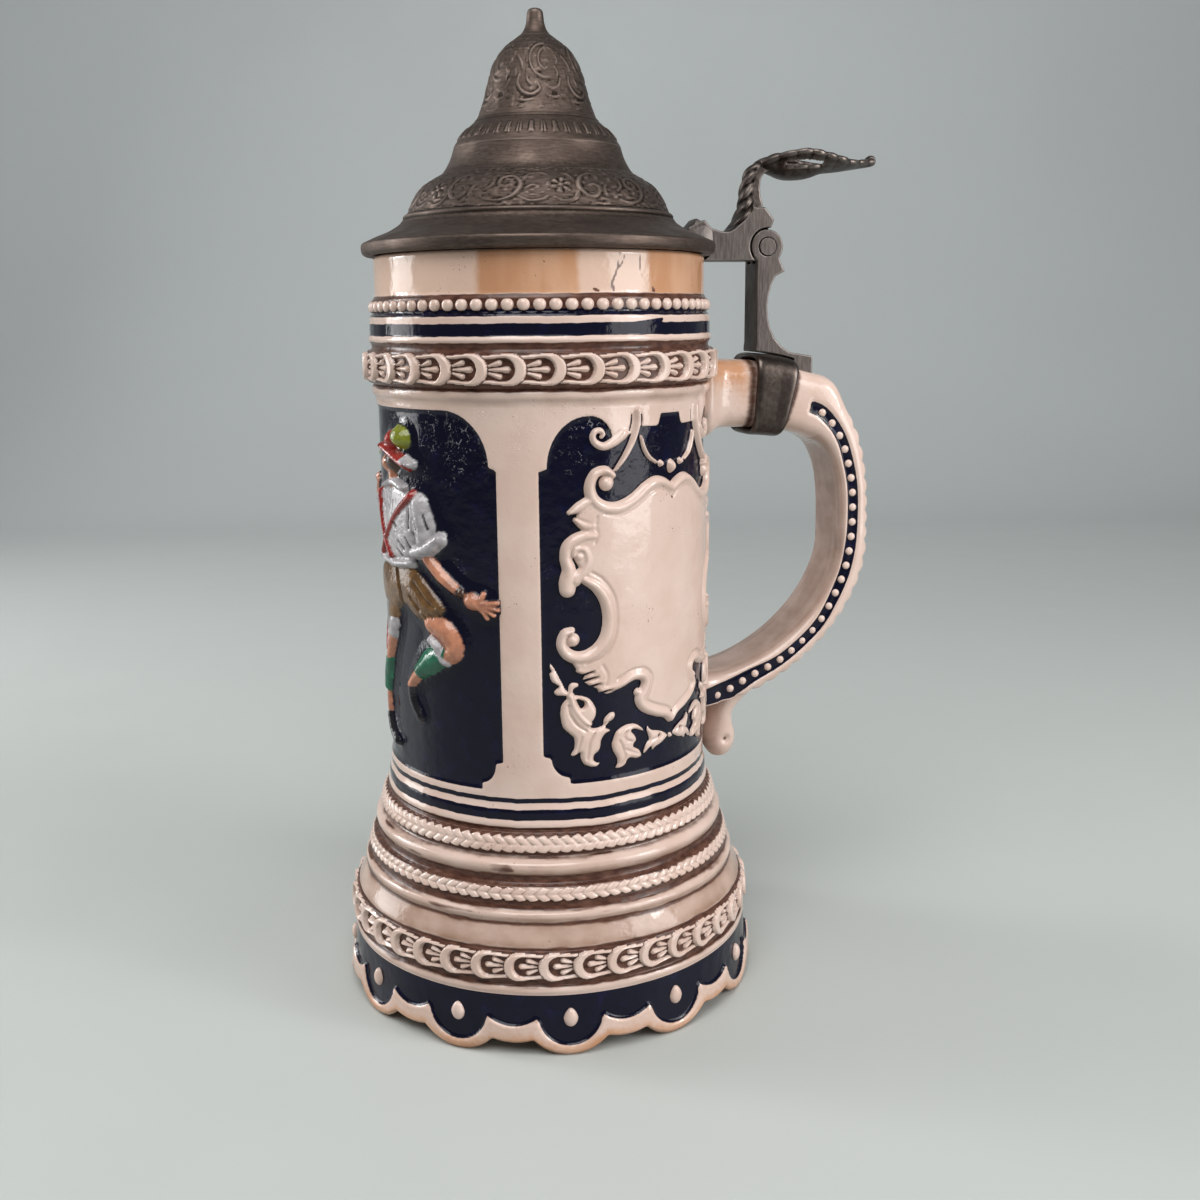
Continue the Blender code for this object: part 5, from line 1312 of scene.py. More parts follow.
def mug_handle():
    count, sides = 330, 120
    along, run, s, z, thickness, width, out_s, out_z = ear_frame(count)
    angle = (np.arange(sides) + 0.5) * math.tau / sides
    cx = np.sign(np.cos(angle)) * np.abs(np.cos(angle)) ** (2 / 3.4)
    cy = np.sign(np.sin(angle)) * np.abs(np.sin(angle)) ** (2 / 3.4)
    flare = 1 + 0.2 * np.exp(-(((s - BARREL) / 3.0) ** 2)) * (along < 1) + 0.08 * np.exp(-(((s - BARREL) / 3) ** 2))
    half_t, half_w = (thickness * flare / 2)[:, None], (width * flare / 2)[:, None]
    q = cx * half_t
    y = cy * half_w
    side = step_up(np.abs(cy), 0.86, 0.97)
    flat_s, flat_z = s[:, None] + out_s[:, None] * q, z[:, None] + out_z[:, None] * q
    channel = -outside_line(flat_s, flat_z, smooth_line(CHANNEL, 4))[0]
    past_end = (flat_s - CHANNEL[0][0]) * CHANNEL_END[0] + (flat_z - CHANNEL[0][1]) * CHANNEL_END[1]
    channel = np.where(flat_z > CHANNEL[0][1] - 12, np.minimum(channel, past_end), channel)
    groove = 0.75 * side * step_up(channel, -0.35, 0.55)
    y = y - np.sign(cy) * groove
    on_ear = step_up(along, 0.52, 0.62)[:, None] * step_up(2 - along, 0.0, 0.18)[:, None]
    waves = np.abs(np.sin(math.pi * run / 4.1))[:, None]
    back = step_up(cx, 0.45, 0.85)
    q = q + on_ear * back * (0.75 * waves - 0.3) * (0.5 + 0.5 * np.abs(cy))
    q = q + (2.0 * np.exp(-(((along - SHOULDER) / 0.085) ** 2)))[:, None] * step_up(cx, 0.1, 0.8)
    front = step_up(-cx, 0.75, 0.97)
    q = q + on_ear * front * 0.55 * (1 - cy**2)
    points = np.stack([s[:, None] + out_s[:, None] * q, y, z[:, None] + out_z[:, None] * q], -1)
    streaks = soft_noise(count, sides, 9, 60, SEED + 5) * 0.6 + soft_noise(count, sides, 26, 30, SEED + 6) * 0.4
    low_front = front * step_up(along, 1.3, 1.7)[:, None]
    stain_and_shade = low_front * (0.06 + 0.4 * streaks) * (1 - np.abs(cy) ** 6)
    stub = (step_up(55.0 - s, 0, 6) * (along < 1))[:, None]
    wash = 0.75 * step_up(-cx, 0.5, 0.95) * (0.5 + 0.7 * streaks) * (along > 0.5)[:, None]
    amber = stub * np.clip(0.95 * step_up(cx, -0.3, 0.8) + 0.5 * (np.exp(-(((s - 53.0) / 3.0) ** 2)))[:, None], 0, 1)
    collar = np.exp(-(((s - 53.4) / 1.5) ** 2)) + np.exp(-(((s - 64.6) / 0.9) ** 2))
    stain_and_shade = stain_and_shade + 0.75 * (collar * (along < 0.75))[:, None] * np.ones(sides)
    ends = np.arange(sides)
    caps = np.stack([ends[::-1], ends + (count - 1) * sides])
    fields = {"blue": as_paint_edge(np.where(side > 0.3, channel - 0.15, -9)), "stain_and_shade": stain_and_shade, "wash": np.clip(wash, 0, 1)}
    fields["tan"] = as_paint_edge(-0.13 + 0.24 * amber)
    faces = [grid_faces(count, sides, closed_columns=True), caps]
    mesh = tidied(new_mesh("ear", points.reshape(-1, 3), faces, fields))
    return finished("mug_handle", mesh, STONEWARE, "mug", ["handle"])


def handle_dots():
    """White dots along both side channels of the handle."""
    path_s, path_z, _ = smooth_line(CHANNEL[1:-1] + [(44.5, 72.0, 3.3)], 12).T
    face_y = np.interp(path_s, [44, 60, 70, 80], [9.9, 9.9, 9.6, 9.9]) - 0.75
    shape = bmesh.new()
    bmesh.ops.create_icosphere(shape, subdivisions=2, radius=1)
    bmesh.ops.scale(shape, verts=shape.verts, vec=(1.08 * MM, 0.7 * MM, 1.08 * MM))
    dot = bpy.data.meshes.new("dot")
    shape.to_mesh(dot)
    shape.free()
    dot_object = new_object("dot", dot)
    meshes = []
    for side in (-1, 1):
        points = np.stack([path_s, face_y * side, path_z], 1)
        line = bpy.data.meshes.new("dot_line")
        pairs = [(k, k + 1) for k in range(len(points) - 1)]
        line.from_pydata((points * MM).tolist(), pairs, [])
        inputs = {"Bead": dot_object, "Count": DOTS, "Join distance": 0.001 * MM, "Finish": STONEWARE}
        meshes.append(grown(LINE_TREE, line, inputs))
    bpy.data.objects.remove(dot_object)
    return finished("handle_dots", tidied(joined("handle_dots", meshes)), STONEWARE, "mug")


def handle_terminal():
    """The curled end below the handle's lower root, with a thumb-print dimple on each side."""
    line = [(57.5, 78.5, 3.4, 8.2), (53.6, 74.0, 4.3, 7.6), (50.0, 69.8, 4.0, 6.8), (48.3, 65.8, 3.4, 6.0),
            (48.0, 62.0, 3.8, 5.6), (48.1, 58.4, 4.6, 5.5), (48.1, 55.2, 4.1, 4.8), (48.0, 52.8, 2.4, 3.0), (48.0, 52.0, 0.5, 0.6)]
    dense = smooth_line(line, 9)
    dense = np.column_stack([dense[:, 0], np.zeros(len(dense)), dense[:, 1], np.maximum(dense[:, 2:], 0.2)])
    mesh = tube_mesh("terminal", dense, 56)
    count = len(mesh.vertices)
    co = np.empty(count * 3)
    mesh.vertices.foreach_get("co", co)
    co = co.reshape(-1, 3) / MM
    near = np.exp(-(((co[:, 0] - 48.6) / 1.2) ** 2 + ((co[:, 2] - 58.0) / 1.2) ** 2))
    co[:, 1] -= np.sign(co[:, 1]) * 1.1 * near
    mesh.vertices.foreach_set("co", (co * MM).ravel())
    attribute = mesh.attributes.new("stain_and_shade", "FLOAT", "POINT")
    stain_and_shade = 0.9 * np.exp(-(((co[:, 0] - 48.6) / 0.6) ** 2 + ((co[:, 2] - 58.0) / 0.6) ** 2))
    attribute.data.foreach_set("value", stain_and_shade.astype(np.float32))
    mesh.update()
    return finished("handle_terminal", mesh, STONEWARE, "mug")


# Pewter: hinge pieces keep the shapes of their solids, with soft worn edges


def worn_copy(node, finish, body, voxel=0.19, rounds=3, reshape=None):
    """The solid of a node with its edges rubbed round, and its wear marked."""
    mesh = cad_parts[node].data.copy()
    tidied(mesh)
    settings = [("REMESH", {"mode": "VOXEL", "voxel_size": voxel * MM, "use_smooth_shade": True})]
    settings.append(("SMOOTH", {"factor": 0.5, "iterations": rounds}))
    made = with_modifiers(mesh, settings)
    if reshape:
        reshape(made)
    return finished("worn_" + node, add_wear(made, 3), finish, body, [node], at_axis=False)


def slope_front(mesh):
    """Draws the upper front of the hinge arm back under the thumb lift."""
    co = np.empty(len(mesh.vertices) * 3)
    mesh.vertices.foreach_get("co", co)
    co = co.reshape(-1, 3)
    s, z = (co[:, 0] - AXIS.x) / MM, co[:, 2] / MM
    co[:, 0] += 2.9 * MM * step_up(z, 192.0, 197.5) * step_up(56.5 - s, 0.0, 4.5)
    mesh.vertices.foreach_set("co", co.ravel())
    mesh.update()


def collar():
    """The smooth strap round the upper root of the handle."""
    stations, sides = 30, 128
    along, run = ear_stations(1200)
    s, z, thickness, width = ear_line(along)
    picked = np.interp(np.linspace(COLLAR_START, COLLAR_END, stations), s[along < 0.9], along[along < 0.9])
    s, z, thickness, width = ear_line(picked)
    ds, dz = np.gradient(s), np.gradient(z)
    size = np.hypot(ds, dz)
    angle = (np.arange(sides) + 0.5) * math.tau / sides
    cx = np.sign(np.cos(angle)) * np.abs(np.cos(angle)) ** (2 / 4.2)
    cy = np.sign(np.sin(angle)) * np.abs(np.sin(angle)) ** (2 / 4.2)
    place = np.linspace(-1, 1, stations)
    outside = COLLAR_OUT - 0.7 * np.abs(place) ** 12
    rings = []
    for offset, rows in ((outside, slice(None)), (np.full(stations, COLLAR_GAP), slice(None, None, -6))):
        q = cx * (thickness / 2 + offset)[:, None]
        y = cy * (width / 2 + offset)[:, None]
        ring = np.stack([s[:, None] - (dz / size)[:, None] * q, y, z[:, None] + (ds / size)[:, None] * q], -1)
        rings.append(ring[rows])
    points = np.concatenate(rings)
    faces = grid_faces(*points.shape[:2], closed_rows=True, closed_columns=True)
    mesh = add_wear(tidied(new_mesh("collar", points.reshape(-1, 3), [faces])), 2)
    return finished("collar", mesh, COLLAR_PEWTER, "mug", ["handle_collar"])


def boss():
    """A hammered boss where the hinge arm meets the lid."""
    shape = bmesh.new()
    corners = [(36.6, 3.6, 190.2), (38.4, 4.4, 192.6), (40.0, 3.2, 194.9), (40.6, 1.2, 195.2), (42.0, 4.6, 193.2)]
    corners += [(43.6, 4.7, 192.0), (44.2, 3.0, 192.6), (43.8, 4.9, 189.4), (40.0, 5.0, 189.6), (37.4, 1.2, 192.4)]
    for x, y, z in corners:
        for side in (-1, 1):
            shape.verts.new((x * MM, side * y * MM, z * MM))
    bmesh.ops.convex_hull(shape, input=shape.verts)
    bmesh.ops.bevel(shape, geom=shape.edges[:], offset=0.22 * MM, segments=2, affect="EDGES", profile=0.6)
    mesh = bpy.data.meshes.new("boss")
    shape.to_mesh(mesh)
    shape.free()
    mesh.shade_smooth()
    mesh.set_sharp_from_angle(angle=math.radians(40))
    return finished("hinge_boss", add_wear(mesh, 1), HINGE_PEWTER, "lid")


# Where the collar lies along the handle, and how far it stands off it
COLLAR_START = 54.0
COLLAR_END = 64.2
COLLAR_OUT = 1.85
COLLAR_GAP = 0.2


def hinge():
    worn_copy("shank", HINGE_PEWTER, "mug")
    worn_copy("hinge_pin", HINGE_PEWTER, "mug", 0.12)
    collar()
    worn_copy("lid_arm", HINGE_PEWTER, "lid", reshape=slope_front)
    boss()


# Pewter: lid

SECTORS = 6
SECTOR = math.tau / SECTORS


FLANGE = (
    ([(41.4, 185.7), (42.4, 185.75), (43.1, 186.25), (43.35, 187.1), (43.35, 188.1), (43.05, 188.6), (42.5, 188.85)], 4),
    ([(42.2, 189.0), (40.0, 190.0), (36.8, 191.3), (34.2, 192.9), (33.3, 193.9)], 4),
    ([(33.0, 194.3), (33.0, 194.9), (32.5, 195.3), (32.2, 195.2)], 3),
    ([(32.0, 195.5), (31.1, 197.4), (30.0, 199.4), (28.2, 201.6), (25.8, 203.3), (24.6, 203.9)], 11),
    ([(24.3, 204.3), (23.9, 204.4), (22.7, 205.6), (21.3, 208.0), (20.5, 210.2), (20.3, 211.0)], 4),
)
BELL = (
    ([(20.3, 211.0), (20.1, 211.4), (19.7, 212.0), (18.4, 213.8), (16.6, 215.6), (15.2, 216.8)], 8),
    ([(15.0, 217.2), (14.5, 217.7), (13.6, 219.6), (12.65, 222.2), (11.75, 225.4), (10.9, 228.4), (9.5, 231.4),
      (7.7, 233.7), (5.6, 235.4), (4.4, 236.3)], 9),
    ([(4.2, 236.5), (3.0, 236.7), (0.0, 236.75)], 2),
)
FLANGE_HOLLOW = [(18.0, 211.0), (19.4, 206.6), (22.2, 203.2), (26.6, 199.4), (30.4, 194.2), (34.6, 190.2), (BORE, 186.4),
                 (38.0, 186.05), (40.2, 186.0)]
BELL_HOLLOW = [(0, 233.1), (3.6, 231.4), (8.4, 228.0), (10.4, 223.0), (11.6, 219.6), (13.8, 215.4), (18.0, 211.0)]


def scrolls(u, v, lines, rise, soft=0.4):
    """Raised lines of (across, up, half width) on part of the lid."""
    relief = np.zeros(u.shape)
    for line in lines:
        gap, _ = outside_line(u, v, smooth_line(line, 6))
        relief = np.maximum(relief, rise * step_up(-gap, -0.2, soft))
    return relief


BAND_LINES = [
    [(-13.4, 1.6, 0.2), (-10.4, 1.2, 0.4), (-7.2, 2.6, 0.55), (-5.9, 5.4, 0.6), (-7.6, 7.8, 0.5), (-10.0, 7.4, 0.45),
     (-10.6, 5.6, 0.35), (-9.2, 4.6, 0.3), (-8.2, 5.4, 0.25)],
    [(-5.6, 6.2, 0.25), (-4.2, 8.4, 0.5), (-1.6, 8.9, 0.45), (0.2, 8.2, 0.2)],
    [(-6.2, 2.2, 0.2), (-4.0, 1.0, 0.5), (-1.4, 1.3, 0.45), (-0.2, 2.2, 0.2)],
    [(-4.8, 4.2, 0.2), (-3.4, 5.0, 0.4), (-1.9, 4.6, 0.2)],
    [(13.4, 8.6, 0.2), (10.4, 9.2, 0.4), (7.6, 7.8, 0.55), (6.6, 5.0, 0.6), (8.0, 2.6, 0.5), (10.2, 2.6, 0.45),
     (11.2, 4.4, 0.35), (10.2, 5.6, 0.3), (9.0, 5.2, 0.25)],
    [(6.4, 3.6, 0.25), (5.2, 1.6, 0.5), (3.0, 1.0, 0.4), (1.8, 1.6, 0.2)],
    [(-13.6, 4.0, 0.2), (-12.2, 5.4, 0.4), (-12.0, 7.4, 0.2)],
    [(13.4, 5.8, 0.2), (12.4, 4.4, 0.4), (12.6, 2.4, 0.2)],
    [(-12.6, 9.2, 0.2), (-10.8, 9.4, 0.35), (-9.0, 8.9, 0.2)],
    [(5.4, 7.0, 0.2), (4.6, 8.4, 0.4), (3.2, 9.0, 0.2)],
]
BELL_LINES = [
    [(2.2, 13.6, 0.2), (0.4, 13.9, 0.3), (-1.4, 12.6, 0.4), (-2.2, 10.2, 0.45), (-1.6, 7.6, 0.4), (0.4, 6.0, 0.35), (2.4, 6.0, 0.2)],
    [(2.9, 12.6, 0.2), (1.4, 13.0, 0.3), (0.0, 11.6, 0.35), (-0.2, 9.4, 0.35), (0.9, 7.9, 0.25), (1.9, 8.3, 0.15)],
    [(-4.9, 6.6, 0.2), (-5.3, 4.6, 0.35), (-4.2, 2.6, 0.4), (-2.0, 2.0, 0.4), (-0.2, 3.2, 0.3), (-0.6, 4.6, 0.2)],
    [(-5.2, 11.6, 0.2), (-4.2, 9.4, 0.4), (-4.0, 7.8, 0.2)],
    [(-3.2, 6.2, 0.15), (-2.8, 4.9, 0.3), (-1.9, 4.2, 0.15)],
    [(1.2, 4.2, 0.2), (2.8, 3.4, 0.45), (4.4, 4.2, 0.3), (4.9, 5.8, 0.2)],
    [(1.4, 2.0, 0.2), (3.2, 1.4, 0.4), (5.2, 2.0, 0.2)],
    [(3.4, 8.6, 0.15), (4.2, 7.2, 0.35), (4.0, 6.0, 0.15)],
    [(3.6, 11.4, 0.15), (4.2, 10.2, 0.3), (4.0, 9.2, 0.15)],
    [(-5.6, 0.9, 0.2), (-3.6, 0.6, 0.35), (-1.8, 0.9, 0.2)],
]


def flower(u, v, x, z):
    """A small open flower."""
    relief = 0.42 * step_up(0.75 - np.hypot(u - x, v - z), 0, 0.5)
    for k in range(6):
        a = math.tau * k / 6 + 0.3
        tip = (x + 1.75 * math.cos(a), z + 1.75 * math.sin(a), 0.62)
        gap, _ = outside_line(u, v, np.array([(x + 0.7 * math.cos(a), z + 0.7 * math.sin(a), 0.25), tip]))
        relief = np.maximum(relief, 0.36 * step_up(-gap, -0.15, 0.4))
    return relief


def leafy(u, up, round_sector, seed):
    """Small worn leaves without a clear drawing, the same in every sector."""
    rows, columns = u.shape
    patches = soft_noise(rows, columns - 1, up, round_sector, seed)
    return 0.15 * step_up(np.hstack([patches, patches[:, :1]]), 0.5, 0.85)


def flange_relief(u, v, r, z):
    """Scrolls and a flower on the wide band."""
    on_band = (z > 195.4) & (z < 204.0) & (r > 24.4)
    drawn = np.maximum(scrolls(u, v, BAND_LINES, 0.27, 0.5), 0.8 * flower(u, v, 2.6, 5.1))
    drawn = np.maximum(drawn, leafy(u, 42, 26, SEED + 12))
    return np.where(on_band, drawn, 0)


def bell_relief(u, v, r, z):
    """Upright leaves on the ring, and C-scrolls with leaves above it."""
    leaf = np.abs((u / np.maximum(r, 1) / SECTOR * 7 + 0.5) % 1 - 0.5) * 2.9
    up = (z - 212.4) / 3.0
    tongue = 0.24 * step_up(0.9 - leaf * (1.0 + 0.5 * up) - 0.2 * up, 0, 0.3) * step_up(leaf, 0.02, 0.12)
    tongue = tongue * step_up(up, 0, 0.12) * step_up(1 - up, 0, 0.15)
    on_bell = (z > 218.6) & (z < 235.2)
    drawn = np.maximum(scrolls(u, z - 219.6, BELL_LINES, 0.26, 0.5), 0.7 * leafy(u, 40, 12, SEED + 13))
    return np.where(on_bell, drawn, np.where((up > 0) & (up < 1), tongue, 0))


def lid_part(name, lines, hollow, relief_of, band_radius):
    """One sector of a turned part of the lid, with its relief, repeated round the axis."""
    profile = np.vstack([smooth_line(points, steps) for points, steps in lines])
    fresh = np.concatenate([[True], np.hypot(*np.diff(profile, axis=0).T) > 1e-6])
    profile = profile[fresh]
    inside = even_profile(hollow, 4.0)
    columns = 81
    turn = np.linspace(-SECTOR / 2, SECTOR / 2, columns)
    r, z = profile.T
    run = np.concatenate([[0], np.cumsum(np.hypot(np.diff(r), np.diff(z)))])
    dr, dz = np.gradient(r, run), np.gradient(z, run)
    wide_r, wide_z = (np.repeat(a[:, None], columns, 1) for a in (r, z))
    u = np.repeat(turn[None, :], len(r), 0) * (band_radius or np.maximum(wide_r, 5.0))
    start = np.interp(195.4, z, run)
    relief = relief_of(u, np.repeat((run - start)[:, None], columns, 1), wide_r, wide_z)
    radius = np.vstack([wide_r + relief * dz[:, None], np.repeat(inside[:, :1], columns, 1)])
    height = np.vstack([wide_z - relief * dr[:, None], np.repeat(inside[:, 1:], columns, 1)])
    points = np.stack([radius * np.cos(turn), radius * np.sin(turn), height], -1).reshape(-1, 3)
    sector = new_mesh(name, points, [grid_faces(*radius.shape, closed_rows=True)])
    mesh = tidied(ring_mesh(sector, SECTORS, LID_TURN, LID_PEWTER, 0.01))
    return add_wear(mesh, 2)


LID_TURN = math.radians(-98.0)


def lid():
    mesh = lid_part("lid_flange", FLANGE, FLANGE_HOLLOW, flange_relief, 28.0)
    finished("lid_flange", mesh, LID_PEWTER, "lid", ["lid"])
    mesh = lid_part("lid_bell", BELL, BELL_HOLLOW, bell_relief, None)
    finished("lid_bell", mesh, LID_PEWTER, "lid")
    tip = smooth_line([(4.4, 236.2), (4.0, 236.6), (3.3, 237.2), (2.6, 238.3), (2.15, 239.8), (2.0, 241.2), (1.75, 242.3),
                       (1.0, 242.8), (0.0, 242.9)], 6)
    profile = np.vstack([[(0, 236.0), (4.2, 236.0)], tip])
    columns = 64
    radius = np.repeat(profile[:, :1], columns, 1)
    height = np.repeat(profile[:, 1:], columns, 1)
    mesh = add_wear(turned_mesh("finial", radius, height), 2)
    return finished("finial", mesh, LID_PEWTER, "lid", ["lid_finial"])


# Pewter: thumb lift


def rope_section(count, turn):
    """Three strands, twisting up the front of the thumb lift."""
    twist = np.linspace(0, math.tau * 2.5, count)[:, None]
    return 1 - 0.32 * (1 - np.abs(np.sin(1.5 * (turn[None, :] - twist))) ** 0.6)


# Side view of the leaf, from its root to its tip: behind the axis, height; then its half width
LEAF_TOP = [(57.4, 209.4), (60.6, 210.7), (63.3, 211.4), (67.4, 211.9), (70.4, 211.5), (74.2, 210.8), (80.4, 209.8), (84.4, 210.1), (88.4, 210.5)]
LEAF_LOW = [(57.4, 207.4), (59.9, 206.4), (63.5, 205.2), (66.2, 204.9), (70.4, 205.3), (74.5, 206.6), (80.0, 207.3), (88.4, 208.6)]
LEAF_HALF = [(57.4, 2.4), (60.6, 5.0), (64.6, 8.0), (70.0, 9.3), (76.0, 8.4), (81.5, 5.9), (86.0, 3.0), (88.4, 1.7)]


def leaf_meshes():
    """The hollow leaf under the thumb: a thin slit bowl inside a lumpy scalloped frame, with a curled tip."""
    steps, across = 120, 81
    along = np.linspace(0, 1, steps)
    behind = 57.6 + 30.7 * along
    top, low, half = (np.interp(behind, *smooth_line(line, 8).T) for line in (LEAF_TOP, LEAF_LOW, LEAF_HALF))
    half = half + 0.45 * np.abs(np.sin(LUMPS * math.pi * along)) - 0.2
    share = np.linspace(-1, 1, across)
    rim = top - 0.9
    flutes = 0.22 * np.cos(9 * math.pi * share)[None, :] * step_up(np.abs(share), 0.1, 0.5)[None, :]
    rib = 0.45 * np.exp(-((share / 0.1) ** 2))[None, :]
    hang = (rim - low - 0.45)[:, None] * (1 - np.abs(share)[None, :] ** 2.6)
    bowl = rim[:, None] - hang
    upper = np.stack([np.repeat(behind[:, None], across, 1), half[:, None] * share, bowl + 0.45 + flutes + rib], -1)
    lower = np.stack([upper[..., 0], upper[..., 1], bowl - 0.45], -1)
    grid = grid_faces(steps, across)
    rows, columns = grid[:, 0] // across, grid[:, 0] % across
    side = np.abs(share[columns] + 1 / across)
    slit = (side > 0.72) & (side < 0.88) & (behind[rows] > 62.4) & (behind[rows] < 72.0)
    points = np.concatenate([upper.reshape(-1, 3), lower.reshape(-1, 3)])
    faces = shell_faces(grid[~slit], steps * across)
    meshes = [tidied(new_mesh("leaf_bowl", points, [faces]))]
    for side in (-1, 1):
        uneven = 0.6 + 0.4 * np.sin(5.3 * along + side) ** 2
        lumps = 0.72 + 0.16 * uneven * np.abs(np.sin(LUMPS * math.pi * along)) - 0.12 * along
        meshes.append(edge_tube(np.stack([behind, side * half * 0.97, rim + 0.1, lumps], 1)))
    knob = np.array([(87.4, 209.8), (88.4, 210.7), (89.0, 210.5), (89.0, 209.6), (88.2, 209.3)])
    curl = np.column_stack([knob[:, 0], np.zeros(5), knob[:, 1], np.full(5, 0.75), np.full(5, 1.6)])
    meshes.append(tube_mesh("curl", smooth_line(curl, 5), 16))
    return meshes


LUMPS = 8.5


def edge_tube(line):
    """A round lumpy bar along a line of (x, y, z, radius)."""
    centre, radius = line[:, :3], line[:, 3]
    run = np.gradient(centre, axis=0)
    run /= np.linalg.norm(run, axis=1)[:, None]
    side = np.cross(run, (0, 0, 1))
    side /= np.linalg.norm(side, axis=1)[:, None]
    up = np.cross(side, run)
    turn = np.arange(16) * math.tau / 16
    ring = side[:, None, :] * np.cos(turn)[None, :, None] + up[:, None, :] * np.sin(turn)[None, :, None]
    points = (centre[:, None, :] + ring * radius[:, None, None]).reshape(-1, 3)
    ends = np.arange(16)
    caps = np.stack([ends[::-1], ends + (len(line) - 1) * 16])
    return tidied(new_mesh("bar", points, [grid_faces(len(line), 16, closed_columns=True), caps]))


def thumb_lift():
    rope = [(48.2, 190.9, 0.8, 3.6), (50.6, 192.4, 1.3, 4.3), (52.5, 194.6, 1.7, 4.6), (53.7, 197.0, 1.9, 4.3),
            (54.1, 199.2, 1.9, 3.5), (54.1, 201.0, 1.9, 2.8), (54.7, 203.4, 1.95, 2.5), (55.4, 205.8, 1.95, 2.4),
            (57.0, 207.4, 1.85, 2.3), (59.2, 208.7, 1.7, 2.1), (61.8, 209.9, 1.5, 1.8), (64.5, 210.7, 1.1, 1.4)]
    line = smooth_line([(s, 0, z, reach, across) for s, z, reach, across in rope], 12)
    meshes = [tube_mesh("rope", line, 48, rope_section)]
    web = [(54.9, 198.25), (57.9, 198.25), (57.4, 200.6), (57.2, 203.2), (57.7, 205.6), (59.6, 207.2), (60.6, 209.0), (56.4, 207.6)]
    outline = smooth_line(web, 4, closed=True)
    points = np.concatenate([np.column_stack([outline[:, 0], np.full(len(outline), y), outline[:, 1]]) for y in (-2.4, 2.4)])
    count = len(outline)
    ring = np.arange(count)
    sides = np.stack([ring, np.roll(ring, -1), np.roll(ring, -1) + count, ring + count], 1)
    meshes.append(tidied(new_mesh("web", points, [sides, [ring[::-1]], [ring + count]])))
    meshes += leaf_meshes()
    settings = [("REMESH", {"mode": "VOXEL", "voxel_size": 0.22 * MM, "use_smooth_shade": True})]
    settings.append(("SMOOTH", {"factor": 0.5, "iterations": 2}))
    mesh = add_wear(with_modifiers(joined("thumb_lift", meshes), settings), 3)
    return finished("thumb_lift", mesh, LIFT_PEWTER, "lid", ["thumblift"])


# Stage, light and camera


def stage():
    """A pale floor that sweeps up into a backdrop."""
    bend, reach, tall = 0.5, 0.75, 2.2
    arc = [(reach + bend * math.sin(a), bend - bend * math.cos(a)) for a in np.linspace(0, math.pi / 2, 24)]
    line = [(-2.0, 0.0), (0.0, 0.0)] + arc + [(reach + bend, tall)]
    turn = Matrix.Rotation(CAMERA_TURN, 3, "Z")
    points = [tuple(turn @ Vector((side * 2.6, depth, up))) for depth, up in line for side in (-1, 1)]
    faces = [(2 * k, 2 * k + 1, 2 * k + 3, 2 * k + 2) for k in range(len(line) - 1)]
    mesh = bpy.data.meshes.new("floor")
    mesh.from_pydata(points, [], faces)
    mesh.shade_smooth()
    floor = new_object("floor", mesh)
    p = Paint("pale_floor")
    away = add_node(p.tree, "ShaderNodeVectorMath", {0: p.place, 1: turn @ Vector((0, 1, 0))}, operation="DOT_PRODUCT")
    base = p.mix(p.ramp(away.outputs["Value"], -0.1, reach + bend), FLOOR_PAINT, BACKDROP_PAINT)
    colour = p.mix(p.ramp(p.noise(400, 2), 0.3, 0.7, 0.0, 0.12), base, FLOOR_PAINT)
    mesh.materials.append(p.finish(colour, p.ramp(p.noise(40, 2), 0.3, 0.7, 0.55, 0.65)))
    world = bpy.data.worlds.new("studio")
    bpy.context.scene.world = world
    world.use_nodes = True
    background = world.node_tree.nodes["Background"]
    background.inputs["Color"].default_value = (0.80, 0.83, 0.84, 1)
    background.inputs["Strength"].default_value = 0.28


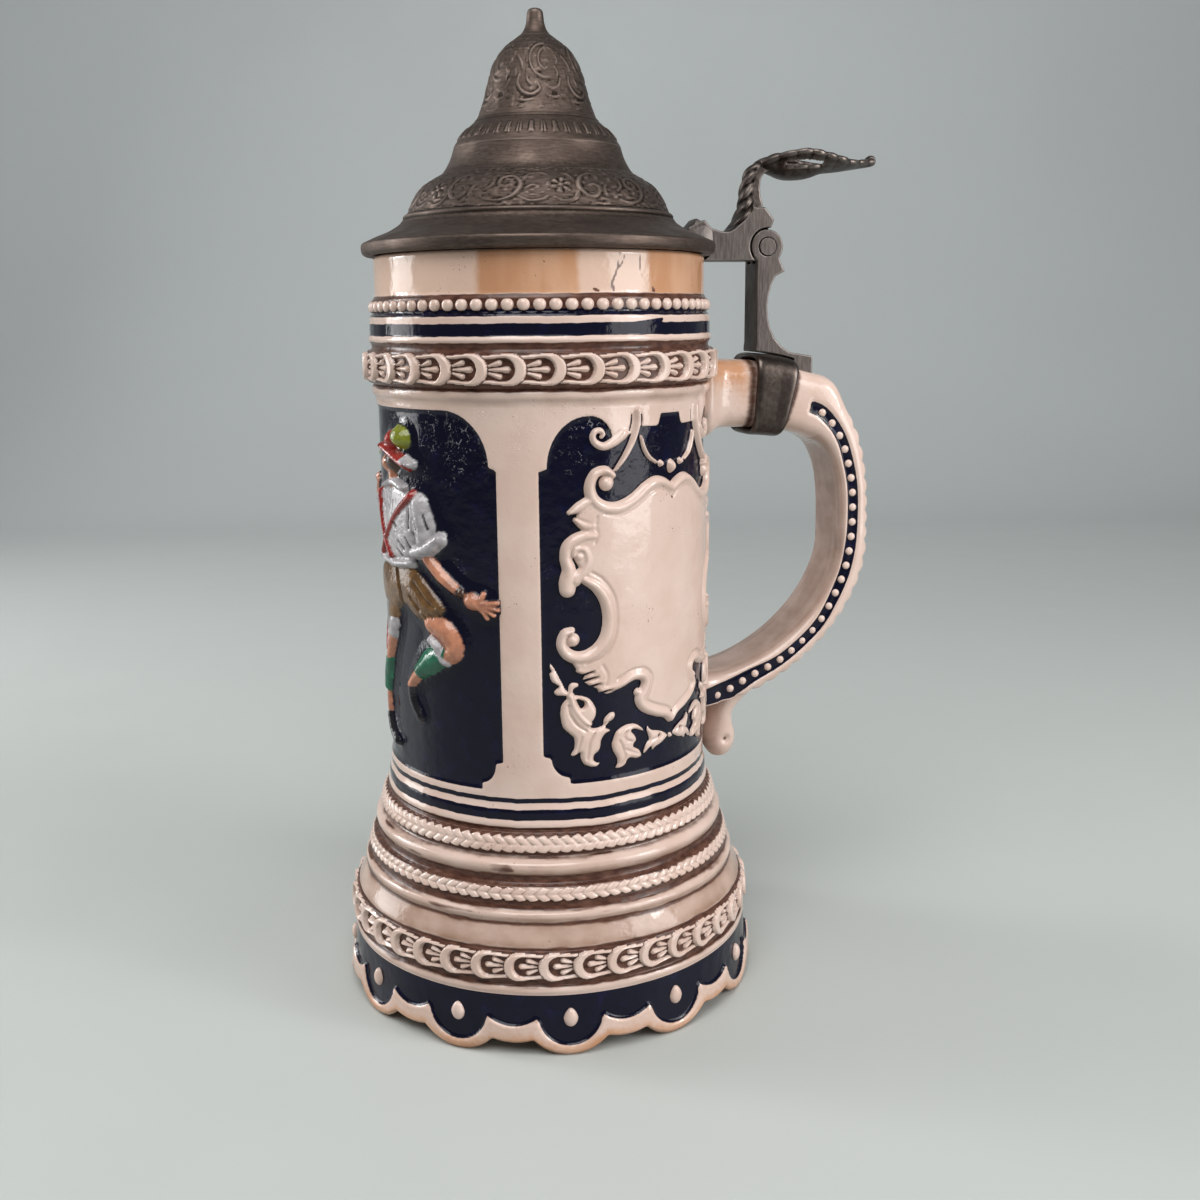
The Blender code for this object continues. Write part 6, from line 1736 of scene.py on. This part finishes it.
def soft_box(name, turn, distance, height, size, power, aim=0.11):
    """A tall soft light that stands round the mug; 0 degrees is the camera's side."""
    lamp = bpy.data.lights.new(name, "AREA")
    lamp.shape = "RECTANGLE"
    lamp.size, lamp.size_y = size
    lamp.energy = power
    made = bpy.data.objects.new(name, lamp)
    bpy.context.scene.collection.objects.link(made)
    a = math.radians(turn) + CAMERA_TURN
    made.location = AXIS + Vector((distance * math.sin(a), -distance * math.cos(a), height))
    aim_at = AXIS + Vector((0, 0, aim))
    made.rotation_euler = (aim_at - made.location).to_track_quat("-Z", "Y").to_euler()


# Camera, as found from the photograph: from the mug's axis, in millimetres and radians
CAMERA_TURN = math.radians(-12.5)
CAMERA_DISTANCE = 332.2
CAMERA_HEIGHT = 170.2
CAMERA_YAW = 0.043
CAMERA_PITCH = 0.21194
CAMERA_ROLL = -0.00859
CAMERA_LENS = 39.0


def camera():
    data = bpy.data.cameras.new("camera")
    data.lens = CAMERA_LENS
    data.sensor_width = 36.0
    data.clip_start = 0.01
    made = bpy.data.objects.new("camera", data)
    bpy.context.scene.collection.objects.link(made)
    forward = Vector((math.sin(CAMERA_YAW) * math.cos(CAMERA_PITCH), math.cos(CAMERA_YAW) * math.cos(CAMERA_PITCH),
                      -math.sin(CAMERA_PITCH)))
    right = Vector((math.cos(CAMERA_YAW), -math.sin(CAMERA_YAW), 0))
    up = right.cross(forward)
    rolled_right = right * math.cos(CAMERA_ROLL) + up * math.sin(CAMERA_ROLL)
    rolled_up = up * math.cos(CAMERA_ROLL) - right * math.sin(CAMERA_ROLL)
    turn = Matrix.Rotation(CAMERA_TURN, 3, "Z")
    axes = Matrix((turn @ rolled_right, turn @ rolled_up, -(turn @ forward))).transposed()
    place = AXIS + turn @ Vector((0, -CAMERA_DISTANCE, 0)) * MM + Vector((0, 0, CAMERA_HEIGHT * MM))
    made.matrix_world = Matrix.Translation(place) @ axes.to_4x4()
    bpy.context.scene.camera = made


mug_neck()
mug_barrel()
mug_base()
mug_bands()
mug_relief()
mug_handle()
handle_dots()
handle_terminal()
hinge()
lid()
thumb_lift()
stage()
soft_box("right_front", 60, 0.75, 0.30, (0.42, 0.75), 4.0)
soft_box("right_window", 64, 0.75, 0.42, (0.11, 0.2), 1.2)
soft_box("left_back", -105, 0.8, 0.28, (0.36, 0.8), 4.2)
soft_box("left_window", -108, 0.75, 0.36, (0.11, 0.2), 1.2)
soft_box("overhead", -10, 0.5, 0.95, (0.7, 0.7), 8.2)
camera()
bpy.context.scene.view_settings.view_transform = "Standard"
